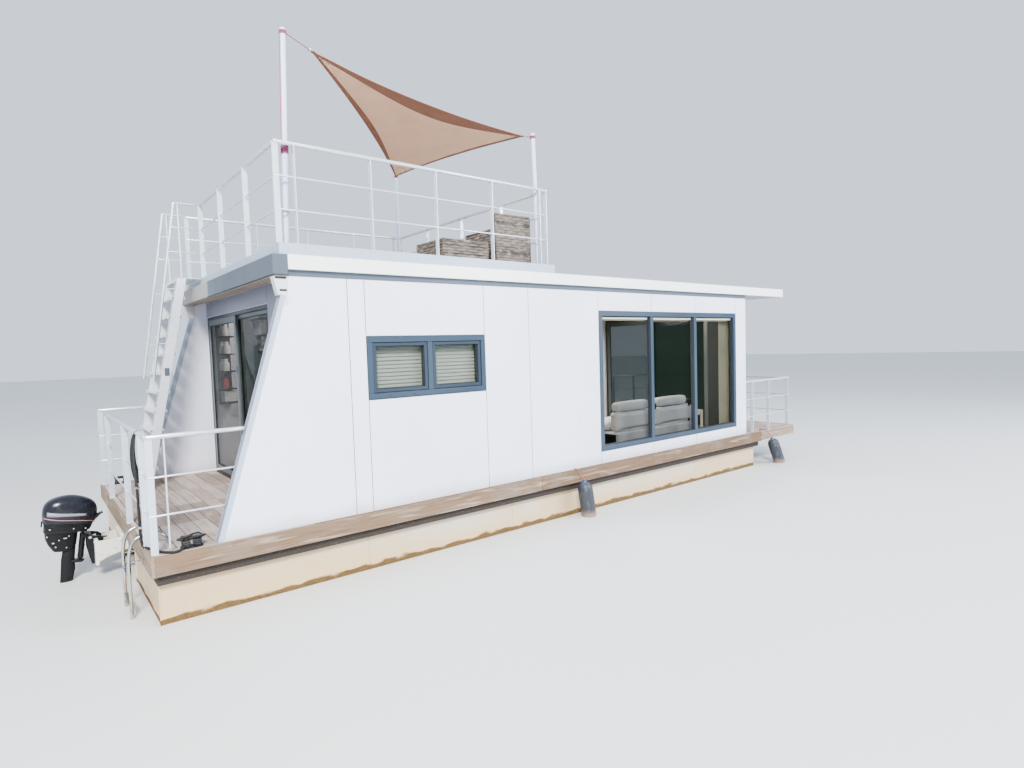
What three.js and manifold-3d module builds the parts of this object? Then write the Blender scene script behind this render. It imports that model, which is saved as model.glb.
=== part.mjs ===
// Houseboat: a flat-roofed cabin on two steel pontoons, with a roof terrace, railings all round,
// a ladder-like stair at the port quarter, a sun sail on three masts and an outboard at the stern.
// Millimetres. +X to the bow, +Y to port, +Z up.
// Every size below is in the boat frame: x from the aft deck edge, y from the starboard deck edge,
// z from the waterline. The exported group moves that frame to the middle of the hull's underside.

import * as THREE from 'three';
import { mergeVertices } from 'three/addons/utils/BufferGeometryUtils.js';
import Module from 'manifold-3d';

const wasm = await Module();
wasm.setup();

// Driving sizes
const GAP = 0.3; // between pieces that touch
const BEAM = 3980; // deck width, so the far side of anything is BEAM - y
const DRAUGHT = 450;
const DECK_Z = 617;
const BOARD = 28; // thickness of deck boards and edge boards
const MAIN_DECK_END = 9650;
const BOW_DECK_END = 10910;
const EDGE_LOW = 445;
const HULL = { x0: 60, x1: 9530, y0: 100, y1: 1450, top: 360 };
const HULL_RAKE = { x: 8950, z: -60 }; // where the underwater bow starts to rise, and its top

const WALL = { out: 37, thick: 80, end: 9184, top: 3055 };
const WALL_IN = WALL.out + WALL.thick;
const WING_FOOT = 524; // aft edge of the side walls at deck level
const WING_LEAN = 0.3; // how far that edge moves to the bow for each unit of height
const WING_BRACKET = { low: 2820, foot: 1164, head: 1124 }; // under the roof's aft beam
const AFT_FACADE = { x0: 1398, x1: 1478 };
const BOW_FACADE = { x0: 9080, x1: 9160 };
const SMALL_WINDOW = { x0: 2017, x1: 3511, z0: 1773, z1: 2423, bars: [2764] };
const BIG_WINDOW = { x0: 5454, x1: 8862, z0: 791, z1: 2731, bars: [6600, 7690] };
const AFT_DOOR = { y0: 1130, y1: 3862, z1: 2826 };
const BOW_DOOR = { y0: 720, y1: 3260, z1: 2780 };

const ROOF = { x0: 1250, x1: 10427, low: 3055, top: 3190, out: -3, board: 28 };
const AFT_BEAM = { x0: 1110, low: 2990 };
const TERRACE = { x0: 1180, x1: 4640, y0: 10, top: 3300 };

const RAIL_TOP_R = 20;
const RAIL_MID_R = 9;
const BLADE = { wide: 58, thick: 10 }; // flat-bar railing posts, set across the rail
const ROOF_RAIL_Z = [4235, 3928, 3618];
const DECK_RAIL_Z = [1610, 1270, 943];
const BOW_RAIL_Z = [1530, 1206, 895];
const RAIL_INSET = 80; // from the deck edge to the middle of the rail

const across = (y) => BEAM - y;
const wingEdge = (z) => WING_FOOT + (z - DECK_Z) * WING_LEAN;

// Shapes

function box(x0, x1, y0, y1, z0, z1) {
  const geometry = new THREE.BoxGeometry(x1 - x0, y1 - y0, z1 - z0);
  return geometry.translate((x0 + x1) / 2, (y0 + y1) / 2, (z0 + z1) / 2);
}

// A prism whose outline is drawn in x and z and which runs from y0 to y1.
function sidePrism(outline, y0, y1) {
  const shape = new THREE.Shape(outline.map(([x, z]) => new THREE.Vector2(x, z)));
  const geometry = new THREE.ExtrudeGeometry(shape, { depth: y1 - y0, bevelEnabled: false });
  return geometry.rotateX(Math.PI / 2).translate(0, y1, 0);
}

// A prism whose outline is drawn in x and y and which runs from z0 to z1.
function planPrism(outline, z0, z1) {
  const shape = new THREE.Shape(outline.map(([x, y]) => new THREE.Vector2(x, y)));
  return new THREE.ExtrudeGeometry(shape, { depth: z1 - z0, bevelEnabled: false }).translate(0, 0, z0);
}

function rod(from, to, radius, sides = 10) {
  const a = new THREE.Vector3(...from);
  const b = new THREE.Vector3(...to);
  const along = b.clone().sub(a);
  const geometry = new THREE.CylinderGeometry(radius, radius, along.length(), sides);
  const up = new THREE.Vector3(0, 1, 0); // a cylinder's own axis
  const turn = new THREE.Quaternion().setFromUnitVectors(up, along.normalize());
  return geometry.applyQuaternion(turn).translate(...a.add(b).multiplyScalar(0.5).toArray());
}

function tubeAlong(points, radius, sides = 8, steps = 10) {
  const curve = new THREE.CatmullRomCurve3(points.map((p) => new THREE.Vector3(...p)), false, 'centripetal');
  const ring = new THREE.Shape();
  ring.absarc(0, 0, radius, 0, 2 * Math.PI, false);
  const options = { extrudePath: curve, steps, curveSegments: sides, bevelEnabled: false };
  return new THREE.ExtrudeGeometry(ring, options);
}

function toManifold(geometry) {
  const bare = geometry.clone();
  bare.deleteAttribute('normal');
  bare.deleteAttribute('uv');
  const merged = mergeVertices(bare, 1e-3);
  const mesh = new wasm.Mesh({
    numProp: 3,
    vertProperties: new Float32Array(merged.attributes.position.array),
    triVerts: new Uint32Array(merged.index.array),
  });
  return new wasm.Manifold(mesh);
}

function fromManifold(solid) {
  const mesh = solid.getMesh();
  const geometry = new THREE.BufferGeometry();
  geometry.setAttribute('position', new THREE.BufferAttribute(mesh.vertProperties, 3));
  geometry.setIndex(new THREE.BufferAttribute(mesh.triVerts, 1));
  return geometry;
}

function join(parts) {
  return fromManifold(parts.map(toManifold).reduce((sum, part) => sum.add(part)));
}

function cut(base, tools) {
  return fromManifold(tools.map(toManifold).reduce((rest, tool) => rest.subtract(tool), toManifold(base)));
}

// The same piece on the port side.
function mirrored(geometry) {
  const copy = geometry.index ? geometry.toNonIndexed() : geometry.clone();
  const position = copy.attributes.position;
  for (let i = 0; i < position.count; i += 3) {
    const swap = [position.getX(i), position.getY(i), position.getZ(i)];
    position.setXYZ(i, position.getX(i + 1), position.getY(i + 1), position.getZ(i + 1));
    position.setXYZ(i + 1, ...swap);
  }
  copy.applyMatrix4(new THREE.Matrix4().makeScale(1, -1, 1)).translate(0, BEAM, 0);
  copy.deleteAttribute('normal');
  copy.computeVertexNormals();
  return copy;
}

// Finishes

const finish = (color, roughness, metalness) =>
  new THREE.MeshStandardMaterial({ color, roughness, metalness });

const FINISH = {
  hull: finish(0xe8dcc8, 0.5, 0.1),
  steel: finish(0x4a4440, 0.7, 0.3),
  deck: finish(0xa08d82, 0.8, 0),
  edge: finish(0xb49a88, 0.8, 0),
  floor: finish(0xb09a80, 0.6, 0),
  wall: finish(0xeef0f8, 0.4, 0.1),
  roof: finish(0xd8dade, 0.6, 0),
  fascia: finish(0xf8f9fb, 0.4, 0.1),
  sheet: finish(0xb9c3cc, 0.4, 0.4),
  frame: finish(0x5e7c93, 0.4, 0.3),
  door: finish(0x3c4650, 0.4, 0.3),
  glass: finish(0x9fb4b8, 0.05, 0),
  rail: finish(0xc9cfd4, 0.35, 0.8),
  mast: finish(0xe4e6ea, 0.4, 0.2),
  sail: finish(0xd9a06b, 0.9, 0),
  stainless: finish(0xb8bcc0, 0.2, 1),
  bracket: finish(0xe8e8e4, 0.5, 0.2),
  motor: finish(0x16181c, 0.25, 0.1),
  propeller: finish(0x2a2c30, 0.3, 0.6),
  iron: finish(0x222222, 0.6, 0.5),
  fender: finish(0x4c5158, 0.5, 0),
  sofa: finish(0xc2c4c6, 0.9, 0),
  white: finish(0xf2f2f0, 0.6, 0),
  curtain: finish(0xc9c8b4, 0.95, 0),
  wicker: finish(0x8c7f72, 0.85, 0),
};

const boat = new THREE.Group();

function add(name, geometry, material) {
  const mesh = new THREE.Mesh(geometry, material);
  mesh.name = name;
  boat.add(mesh);
  return mesh;
}

function addBothSides(name, geometry, material) {
  add(`${name}_starboard`, geometry, material);
  add(`${name}_port`, mirrored(geometry), material);
}

// Hulls: two box pontoons with an upright stern and an underwater bow that rises.

function pontoon() {
  const outline = [
    [HULL.x0, -DRAUGHT],
    [HULL_RAKE.x, -DRAUGHT],
    [HULL.x1, HULL_RAKE.z],
    [HULL.x1, HULL.top],
    [HULL.x0, HULL.top],
  ];
  return sidePrism(outline, HULL.y0, HULL.y1);
}

// Platform: the plated floor of the boat, set in from the edge boards, with two arms under the bow deck.

function platform() {
  const low = HULL.top + GAP;
  const top = DECK_Z - BOARD - GAP;
  const main = box(45, 9600, 45, across(45), low, top);
  const arms = [500, across(500)].map((y) => box(9590, 10860, y - 60, y + 60, EDGE_LOW + 40, top));
  return join([main, ...arms]);
}

function mainDeckEdge() {
  const low = EDGE_LOW;
  return join([
    box(0, MAIN_DECK_END, 0, BOARD, low, DECK_Z),
    box(0, MAIN_DECK_END, across(BOARD), across(0), low, DECK_Z),
    box(0, BOARD, 0, BEAM, low, DECK_Z),
  ]);
}

function deckSlab(x0, x1) {
  const inset = BOARD + GAP;
  return box(x0, x1, inset, across(inset), DECK_Z - BOARD, DECK_Z);
}

function bowDeck() {
  const side = 45; // the bow deck stands back from the main deck's edge
  const low = EDGE_LOW;
  return join([
    deckSlab(BOW_FACADE.x1 + GAP, MAIN_DECK_END),
    box(MAIN_DECK_END - 10, BOW_DECK_END, side, across(side), DECK_Z - BOARD, DECK_Z),
    box(MAIN_DECK_END + GAP, BOW_DECK_END, side, side + BOARD, low, DECK_Z),
    box(MAIN_DECK_END + GAP, BOW_DECK_END, across(side + BOARD), across(side), low, DECK_Z),
    box(BOW_DECK_END - BOARD, BOW_DECK_END, side, across(side), low, DECK_Z),
  ]);
}

// Walls

const opening = (w, y0, y1) => box(w.x0, w.x1, y0, y1, w.z0, w.z1);

function sideWall() {
  const low = DECK_Z + GAP;
  const beamLow = AFT_BEAM.low - GAP;
  const outline = [
    [wingEdge(low), low],
    [WALL.end, low],
    [WALL.end, WALL.top - GAP],
    [ROOF.x0, WALL.top - GAP],
    [ROOF.x0, beamLow],
    [WING_BRACKET.head, beamLow],
    [WING_BRACKET.foot, WING_BRACKET.low],
    [wingEdge(WING_BRACKET.low), WING_BRACKET.low],
  ];
  const panel = sidePrism(outline, WALL.out, WALL_IN);
  const through = [WALL.out - 50, WALL_IN + 50];
  return cut(panel, [opening(SMALL_WINDOW, ...through), opening(BIG_WINDOW, ...through)]);
}

function facade(place, door) {
  const y0 = WALL_IN + GAP;
  const low = DECK_Z + GAP;
  const panel = box(place.x0, place.x1, y0, across(y0), low, WALL.top - GAP);
  return cut(panel, [box(place.x0 - 50, place.x1 + 50, door.y0, door.y1, low - 50, door.z1)]);
}

// Windows: one frame per opening with its mullions, and one sheet of glass behind the bars.

function windowFrame(w) {
  const bar = 70;
  const y0 = 50;
  const y1 = 96;
  const outer = box(w.x0 + GAP, w.x1 - GAP, y0, y1, w.z0 + GAP, w.z1 - GAP);
  const edges = [w.x0 + bar, ...w.bars.flatMap((x) => [x - bar / 2, x + bar / 2]), w.x1 - bar];
  const panes = [];
  for (let i = 0; i < edges.length; i += 2) {
    panes.push(box(edges[i], edges[i + 1], y0 - 50, y1 + 50, w.z0 + bar, w.z1 - bar));
  }
  return cut(outer, panes);
}

function windowGlass(w) {
  const inset = 12;
  return box(w.x0 + inset, w.x1 - inset, 96 + GAP, 104, w.z0 + inset, w.z1 - inset);
}

// Sliding doors: a fixed leaf in a frame, and a leaf that slides behind it.

const LEAF_CLEAR = 7;
const DOOR_BAR = 75;

function doorFrame(door, x0, x1, fixedFrom, fixedTo) {
  const low = DECK_Z + 2 * GAP;
  const rim = 45;
  const y0 = door.y0 + GAP;
  const y1 = door.y1 - GAP;
  const z1 = door.z1 - GAP;
  const outer = box(x0, x1, y0, y1, low, z1);
  const holeLow = low + 30;
  const holeTop = z1 - rim;
  const walkway = fixedFrom === door.y0 ? [fixedTo, y1 - rim] : [y0 + rim, fixedFrom];
  const pane = [
    Math.max(fixedFrom, y0) + DOOR_BAR,
    Math.min(fixedTo, y1) - DOOR_BAR,
  ];
  const middle = (x0 + x1) / 2;
  const glassHalf = 4;
  const z = [holeLow + DOOR_BAR, holeTop - DOOR_BAR];
  return cut(outer, [
    box(x0 - 50, x1 + 50, ...walkway, holeLow, holeTop),
    box(x0 - 50, middle - glassHalf, ...pane, ...z),
    box(middle + glassHalf, x1 + 50, ...pane, ...z),
  ]);
}

function doorLeaf(x0, x1, y0, y1, top, handleY, handleSide) {
  const low = DECK_Z + 12;
  const middle = (x0 + x1) / 2;
  const glassHalf = 4;
  const pane = [y0 + DOOR_BAR, y1 - DOOR_BAR];
  const z = [low + DOOR_BAR, top - DOOR_BAR];
  const leaf = cut(box(x0, x1, y0, y1, low, top), [
    box(x0 - 50, middle - glassHalf, ...pane, ...z),
    box(middle + glassHalf, x1 + 50, ...pane, ...z),
  ]);
  const face = handleSide > 0 ? x1 : x0;
  const out = face + handleSide * 45;
  const grip = [
    rod([face - handleSide * 5, handleY, 1500], [out, handleY, 1500], 9),
    rod([face - handleSide * 5, handleY, 1780], [out, handleY, 1780], 9),
    rod([out, handleY, 1460], [out, handleY, 1820], 11),
  ];
  return join([leaf, ...grip]);
}

// Roof

function roofFascia() {
  const { x0, x1, low, top, out, board } = ROOF;
  return join([
    box(x0 + GAP, x1, out, out + board, low, top),
    box(x0 + GAP, x1, across(out + board), across(out), low, top),
    box(x1 - board, x1, out, across(out), low, top),
  ]);
}

function aftBeam() {
  return box(AFT_BEAM.x0, ROOF.x0, ROOF.out, across(ROOF.out), AFT_BEAM.low, ROOF.top);
}

// Railings: flat-bar posts across the rail, with a thick top rail and two thin ones through them.
// A corner post is a flat bar along the rail instead.

function bladeAlongX(x, y, low, top) {
  return box(x - BLADE.thick / 2, x + BLADE.thick / 2, y - BLADE.wide / 2, y + BLADE.wide / 2, low, top);
}

function bladeAlongY(x, y, low, top) {
  return box(x - BLADE.wide / 2, x + BLADE.wide / 2, y - BLADE.thick / 2, y + BLADE.thick / 2, low, top);
}

const railRadius = (row) => (row === 0 ? RAIL_TOP_R : RAIL_MID_R);

function railingAlongX({ y, low, heights, posts, corners, ends }) {
  const rails = heights.map((z, i) => rod([ends[0], y, z], [ends[1](z), y, z], railRadius(i)));
  const blades = posts.map((x) => bladeAlongX(x, y, low, heights[0]));
  return join([...blades, ...corners.map((x) => bladeAlongY(x, y, low, heights[0])), ...rails]);
}

function railingAlongY({ x, low, heights, posts, corners, ends }) {
  const rails = heights.map((z, i) => rod([x, ends[0], z], [x, ends[1], z], railRadius(i)));
  const blades = posts.map((y) => bladeAlongY(x, y, low, heights[0]));
  return join([...blades, ...corners.map((y) => bladeAlongX(x, y, low, heights[0])), ...rails]);
}

const STAIR = {
  y0: 3070, y1: 3856, bar: 12, deep: 104, foot: [427, 650], head: [952, 3290], steps: 11,
};

const ROOF_POSTS = [1380, 2160, 2940, 3710, 4455];
const ROOF_RAIL_AFT_X = 1210;
const DECK_CORNER_X = 45;

function roofRailings() {
  const low = TERRACE.top + GAP;
  const common = { low, heights: ROOF_RAIL_Z };
  const side = { ...common, posts: ROOF_POSTS, corners: [ROOF_RAIL_AFT_X], ends: [1192, () => 4545] };
  add('roof_rail_starboard', railingAlongX({ ...side, y: RAIL_INSET }), FINISH.rail);
  add('roof_rail_port', railingAlongX({ ...side, y: across(RAIL_INSET) }), FINISH.rail);
  add('roof_rail_aft', railingAlongY({
    ...common, x: ROOF_RAIL_AFT_X, posts: [1050, 2080, 3060], corners: [140], ends: [125, 3066],
  }), FINISH.rail);
  add('roof_rail_bow', railingAlongY({
    ...common, x: 4590, posts: [1010, 1990, 2970], corners: [110, across(110)], ends: [72, across(72)],
  }), FINISH.rail);
}

function deckRailings() {
  const low = DECK_Z + GAP;
  const common = { low, heights: DECK_RAIL_Z };
  const side = { ...common, posts: [], corners: [DECK_CORNER_X], ends: [20, (z) => wingEdge(z - RAIL_TOP_R) - 6] };
  const bar = rod([160, RAIL_INSET, low], [160, RAIL_INSET, DECK_RAIL_Z[0]], 8);
  add('deck_rail_starboard', join([railingAlongX({ ...side, y: RAIL_INSET }), bar]), FINISH.rail);
  add('deck_rail_stern', railingAlongY({
    ...common, x: 30, posts: [360, 1420, 2900], corners: [], ends: [105, 2908],
  }), FINISH.rail);
  add('deck_rail_port', railingAlongX({ ...side, y: across(RAIL_INSET) }), FINISH.rail);
}

function bowRailing() {
  const low = DECK_Z + GAP;
  const y0 = RAIL_INSET + 20;
  const y1 = across(y0);
  const x0 = WALL.end + 16;
  const x1 = 10850;
  const top = BOW_RAIL_Z[0];
  const rails = BOW_RAIL_Z.flatMap((z, i) => {
    const r = railRadius(i);
    return [
      rod([x0, y0, z], [x1, y0, z], r),
      rod([x0, y1, z], [x1, y1, z], r),
      rod([x1, y0 - r, z], [x1, y1 + r, z], r),
    ];
  });
  const sidePosts = [9490, 10050, 10760].flatMap((x) => [y0, y1].map((y) => bladeAlongX(x, y, low, top)));
  const endPosts = [1040, 1990, 2940].map((y) => bladeAlongY(x1, y, low, top));
  return join([...rails, ...sidePosts, ...endPosts]);
}

// Stair: two flat stringers at the port quarter with treads between, and a landing at the roof.

function stairPoint(t) {
  const [x0, z0] = STAIR.foot;
  const [x1, z1] = STAIR.head;
  return [x0 + (x1 - x0) * t, z0 + (z1 - z0) * t];
}

function stair() {
  const { y0, y1, bar, deep, steps } = STAIR;
  const half = deep / 2;
  const low = DECK_Z + GAP;
  const lean = (STAIR.head[0] - STAIR.foot[0]) / (STAIR.head[1] - STAIR.foot[1]);
  const footX = STAIR.foot[0] + (low - STAIR.foot[1]) * lean;
  const outline = [
    [footX - half, low],
    [footX + half, low],
    [STAIR.head[0] + half, STAIR.head[1]],
    [STAIR.head[0] - half, STAIR.head[1]],
  ];
  const stringers = [y0, y1 - bar].map((y) => sidePrism(outline, y, y + bar));
  const treads = [];
  for (let i = 1; i < steps; i += 1) {
    const [x, z] = stairPoint(i / steps);
    treads.push(box(x - 85, x + 75, y0 + 2, y1 - 2, z - 34, z));
  }
  const [headX, headZ] = STAIR.head;
  const landing = box(headX - half, TERRACE.x0 - 5, y0 + 2, y1 - 2, headZ - 30, headZ);
  return join([...stringers, ...treads, landing]);
}

// The stair's handrail stands aft of its stringer, turns level at the roof and ends at the railing.
function handrail(y) {
  const r = 17;
  const top = ROOF_RAIL_Z[0];
  const foot = [563, y, 2000];
  const knee = [905, y, top];
  const stanchionX = 950;
  const endX = 1135;
  const railX = (z) => foot[0] + ((knee[0] - foot[0]) * (z - foot[2])) / (top - foot[2]);
  const struts = [7.5, 10.4].map((tread) => {
    const [middle, z] = stairPoint(tread / STAIR.steps);
    return rod([railX(z), y, z], [middle - STAIR.deep / 2 - 2, y, z], 9);
  });
  const head = STAIR.head[1] + GAP;
  return join([
    rod(foot, knee, r),
    new THREE.SphereGeometry(r, 10, 8).translate(...knee),
    rod(knee, [endX, y, top], r),
    rod([stanchionX, y, head], [stanchionX, y, top], 12),
    ...ROOF_RAIL_Z.slice(1).map((z) => rod([railX(z), y, z], [endX, y, z], RAIL_MID_R)),
    ...struts,
  ]);
}

// Masts and the sun sail between their heads.

const MASTS = [
  // name, foot x y, head x y z, radius
  ['mast_aft', [1300, 160], [1372, 170, 5330], 28],
  ['mast_bow_starboard', [4498, 160], [4456, 160, 4950], 29],
  ['mast_bow_port', [4520, 3800], [4500, 3800, 5330], 30],
];

function mast([x, y], head, radius) {
  const low = TERRACE.top + GAP;
  const foot = radius + 8; // half the width of the foot plate
  const plate = box(x - foot, x + foot, y - radius - 4, y + foot, low, low + 10);
  return join([plate, rod([x, y, low + 4], head, radius, 16)]);
}

const SAIL_CORNERS = [
  [1710, 330, 5270],
  [4380, 240, 4920],
  [4440, 3700, 5235],
];

// A flat three-cornered sheet whose edges curve in between the corners.
function sunSail() {
  const [a, b, c] = SAIL_CORNERS.map((p) => new THREE.Vector3(...p));
  const u = b.clone().sub(a).normalize();
  const w = u.clone().cross(c.clone().sub(a)).normalize();
  const v = w.clone().cross(u);
  const flat = [a, b, c].map((p) => p.clone().sub(a)).map((p) => new THREE.Vector2(p.dot(u), p.dot(v)));
  const middle = flat[0].clone().add(flat[1]).add(flat[2]).divideScalar(3);
  const shape = new THREE.Shape();
  shape.moveTo(flat[0].x, flat[0].y);
  [1, 2, 0].forEach((next, i) => {
    const half = flat[i].clone().add(flat[next]).multiplyScalar(0.5);
    const pulled = half.lerp(middle, 0.28);
    shape.quadraticCurveTo(pulled.x, pulled.y, flat[next].x, flat[next].y);
  });
  const geometry = new THREE.ExtrudeGeometry(shape, { depth: 8, bevelEnabled: false, curveSegments: 8 });
  const place = new THREE.Matrix4().makeBasis(u, v, w).setPosition(a);
  return geometry.applyMatrix4(place);
}

// Stern fittings

function swimLadder() {
  const rails = [430, 790].map((y) => tubeAlong([
    [200, y, DECK_Z + 6],
    [190, y, 665],
    [115, y, 712],
    [-20, y, 712],
    [-92, y, 640],
    [-110, y, 460],
    [-110, y, -250],
  ], 15, 5, 16));
  const rungs = [380, 120, -140].map((z) => rod([-110, 420, z], [-110, 800, z], 14, 8));
  return join([...rails, ...rungs]);
}

function mooringBollard(x) {
  const y = 110;
  return join([
    box(x - 90, x + 90, y - 45, y + 45, DECK_Z + GAP, DECK_Z + 14),
    rod([x - 45, y, DECK_Z + 8], [x - 45, y, DECK_Z + 100], 20),
    rod([x + 45, y, DECK_Z + 8], [x + 45, y, DECK_Z + 100], 20),
    rod([x - 115, y, DECK_Z + 82], [x + 115, y, DECK_Z + 82], 17),
  ]);
}

// Outboard: bracket on the stern, clamp, swivel, then the engine with its leg, and the propeller.
// Its own frame has the tilt axis along y at the origin; it stands tipped up a little on its stop.

const TILT = { x: -280, y: BEAM / 2, z: 440 };
const REST_TILT = THREE.MathUtils.degToRad(8);
const STEER_X = -58; // the steering axis stands aft of the tilt axis
const SHAFT_Z = -690; // propeller shaft below the tilt axis
const COWL_Z = 138; // seam between the lower cover and the cowl
const BOARD_X = [30, 62]; // the wooden board that the clamp grips, forward of the tilt axis

function transomBracket() {
  const { x, y } = TILT;
  const stern = 45 - 2; // just clear of the platform
  return join([
    box(x + BOARD_X[0], x + BOARD_X[1], y - 190, y + 190, 150, 420),
    box(x + BOARD_X[1] - 5, stern, y - 190, y - 170, 190, 400),
    box(x + BOARD_X[1] - 5, stern, y + 170, y + 190, 190, 400),
    box(-30, stern, y - 210, y + 210, 370, 440),
  ]);
}

function motorClamp() {
  const { x, y, z } = TILT;
  const [back, front] = BOARD_X;
  const outline = [
    [front + 50, 330], [front + 4, 330], [front + 4, 424], [back - 4, 424], [back - 4, 160], [0, 160],
    [-28, 300], [-28, 452], [0, 460], [front + 20, 438], [front + 50, 410],
  ].map(([dx, height]) => [x + dx, height]);
  const arms = [-105, 105].map((side) => sidePrism(outline, y + side - 14, y + side + 14));
  return join([...arms, rod([x, y - 119, z], [x, y + 119, z], 11, 16)]);
}

function aroundTilt(group) {
  group.position.set(TILT.x, TILT.y, TILT.z);
  group.rotation.y = REST_TILT;
  boat.add(group);
}

function motorSwivel() {
  const knuckle = rod([0, -84, 0], [0, 84, 0], 24, 16);
  const bore = rod([0, -130, 0], [0, 130, 0], 13, 16);
  const arm = box(STEER_X, 0, -30, 30, -22, 22);
  const barrel = rod([STEER_X, 0, -230], [STEER_X, 0, 30], 27, 16);
  const pin = rod([STEER_X, 0, -330], [STEER_X, 0, 130], 15, 16);
  return cut(join([knuckle, arm, barrel]), [bore, pin]);
}

function motorLeg() {
  const x = STEER_X;
  const steerPin = rod([x, 0, -262], [x, 0, 60], 13, 16);
  const half = 125;
  const tray = planPrism([
    [x - 335, -90], [x - 250, -half], [x + 20, -half], [x + 80, -62],
    [x + 80, 62], [x + 20, half], [x - 250, half], [x - 335, 90],
  ], 52, COWL_Z);
  const cover = sidePrism([
    [x - 330, 56], [x - 45, 56], [x - 45, -60], [x - 110, -150], [x - 235, -140], [x - 312, -20],
  ], -90, 90);
  const yokeLow = box(x - 80, x + 20, -38, 38, -272, -240);
  const leg = sidePrism([
    [x - 150, 60], [x - 45, 60], [x - 45, -245], [x - 30, -330], [x - 50, -525],
    [x - 30, -640], [x - 60, -770], [x - 125, -815], [x - 150, -740], [x - 150, -525], [x - 165, -240],
  ], -30, 30);
  const plate = box(x - 230, x - 10, -75, 75, -530, -520);
  const gearcase = rod([x - 185, 0, SHAFT_Z], [x + 20, 0, SHAFT_Z], 40, 16);
  return join([steerPin, tray, cover, yokeLow, leg, plate, gearcase]);
}

function motorCowl() {
  const x = STEER_X;
  const low = COWL_Z + GAP;
  const shape = new THREE.Shape();
  shape.moveTo(x - 350, low);
  shape.lineTo(x + 92, low);
  shape.quadraticCurveTo(x + 130, 230, x + 105, 300);
  shape.quadraticCurveTo(x + 50, 410, x - 110, 430);
  shape.quadraticCurveTo(x - 330, 425, x - 365, 250);
  shape.closePath();
  const bevel = 60;
  const options = {
    depth: 180, bevelEnabled: true, bevelThickness: bevel, bevelSize: 40, bevelOffset: -40,
    bevelSegments: 3, curveSegments: 6,
  };
  return new THREE.ExtrudeGeometry(shape, options).rotateX(Math.PI / 2).translate(0, 90, 0);
}

function propeller() {
  const x = STEER_X - 190;
  const hub = rod([x - 85, 0, SHAFT_Z], [x - 2, 0, SHAFT_Z], 30, 16);
  const blades = [0, 1, 2].map((i) => {
    const blade = box(-32, 32, -6, 6, 15, 118).rotateZ(0.6);
    return blade.rotateX((i * 2 * Math.PI) / 3).translate(x - 45, 0, SHAFT_Z);
  });
  return join([hub, ...blades]);
}

function outboard() {
  add('transom_bracket', transomBracket(), FINISH.bracket);
  add('motor_clamp', motorClamp(), FINISH.motor);
  const motor = new THREE.Group();
  const pieces = [
    ['motor_swivel', motorSwivel(), FINISH.motor],
    ['motor_leg', motorLeg(), FINISH.motor],
    ['motor_cowl', motorCowl(), FINISH.motor],
    ['propeller', propeller(), FINISH.propeller],
  ];
  for (const [name, geometry, material] of pieces) {
    const mesh = new THREE.Mesh(geometry, material);
    mesh.name = name;
    motor.add(mesh);
  }
  aroundTilt(motor);
}

// Fenders: hang from the deck edge, the forward pair leaning off the bow.

const FENDERS = [
  // name, top x y z, bottom x y z, whether the port side has one too
  ['mid', [4955, -106, 500], [5050, -106, -60], true],
  ['bow', [9880, -60, 480], [10120, -106, -60], false],
];

function fender(top, bottom) {
  const radius = 100;
  const length = new THREE.Vector3(...top).distanceTo(new THREE.Vector3(...bottom));
  const profile = [
    [0, 0], [40, 0], [80, 25], [radius, 80],
    [radius, length - 100], [75, length - 45], [30, length], [0, length],
  ];
  const body = new THREE.LatheGeometry(profile.map(([r, z]) => new THREE.Vector2(r, z)), 14);
  const along = new THREE.Vector3(...top).sub(new THREE.Vector3(...bottom)).normalize();
  const turn = new THREE.Quaternion().setFromUnitVectors(new THREE.Vector3(0, 1, 0), along);
  return body.applyQuaternion(turn).translate(...bottom);
}

// Woven seats on the terrace, behind the starboard railing

function terraceSeats() {
  const floor = TERRACE.top + GAP;
  const y0 = 215;
  const chair = { x0: 3860, x1: 4425, y1: 860, seat: 290, arm: 430, top: 610, panel: 70 };
  const armInner = chair.panel - 5;
  add('wicker_chair', join([
    box(chair.x0, chair.x1, y0, chair.y1, floor, floor + chair.seat),
    box(chair.x0, chair.x1, y0, y0 + chair.panel, floor, floor + chair.top),
    box(chair.x0, chair.x0 + armInner, y0, chair.y1, floor, floor + chair.arm),
    box(chair.x1 - armInner, chair.x1, y0, chair.y1, floor, floor + chair.arm),
  ]), FINISH.wicker);
  add('wicker_stool', box(3100, 3750, y0, 815, floor, floor + 240), FINISH.wicker);
}

// Inside, seen through the glass

function furnish() {
  const floor = DECK_Z + GAP;
  const leg = (x, y, half, height) => box(x - half, x + half, y - half, y + half, floor, floor + height);
  const sofa = { x0: 6120, x1: 8080, y0: 330, y1: 1220, seat: 330, cushion: 460, back: 780 };
  add('sofa_base', join([
    box(sofa.x0, sofa.x1, sofa.y0, sofa.y1, floor + 60, floor + sofa.seat),
    ...[6180, 8020].flatMap((x) => [400, 1150].map((y) => leg(x, y, 25, 70))),
  ]), FINISH.sofa);
  const cushionLow = floor + sofa.seat + GAP;
  add('sofa_cushions', join([
    box(sofa.x0, sofa.x1, sofa.y0, sofa.y0 + 230, cushionLow, floor + sofa.back),
    box(sofa.x0, sofa.x1, sofa.y0, sofa.y1, cushionLow, floor + sofa.cushion),
  ]), FINISH.sofa);
  add('stool', join([
    box(8330, 8730, 600, 1000, floor + 400, floor + 440),
    ...[8350, 8710].flatMap((x) => [620, 980].map((y) => leg(x, y, 20, 410))),
  ]), FINISH.white);
  add('curtain', box(8560, 8900, 150, 190, floor + 30, 2740), FINISH.curtain);
}

// Assembly

addBothSides('pontoon', pontoon(), FINISH.hull);
add('platform', platform(), FINISH.steel);
add('deck_edge', mainDeckEdge(), FINISH.edge);
add('aft_deck', deckSlab(BOARD + GAP, AFT_FACADE.x0 - GAP), FINISH.deck);
add('cabin_floor', deckSlab(AFT_FACADE.x0, BOW_FACADE.x1), FINISH.floor);
add('bow_deck', bowDeck(), FINISH.deck);

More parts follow.
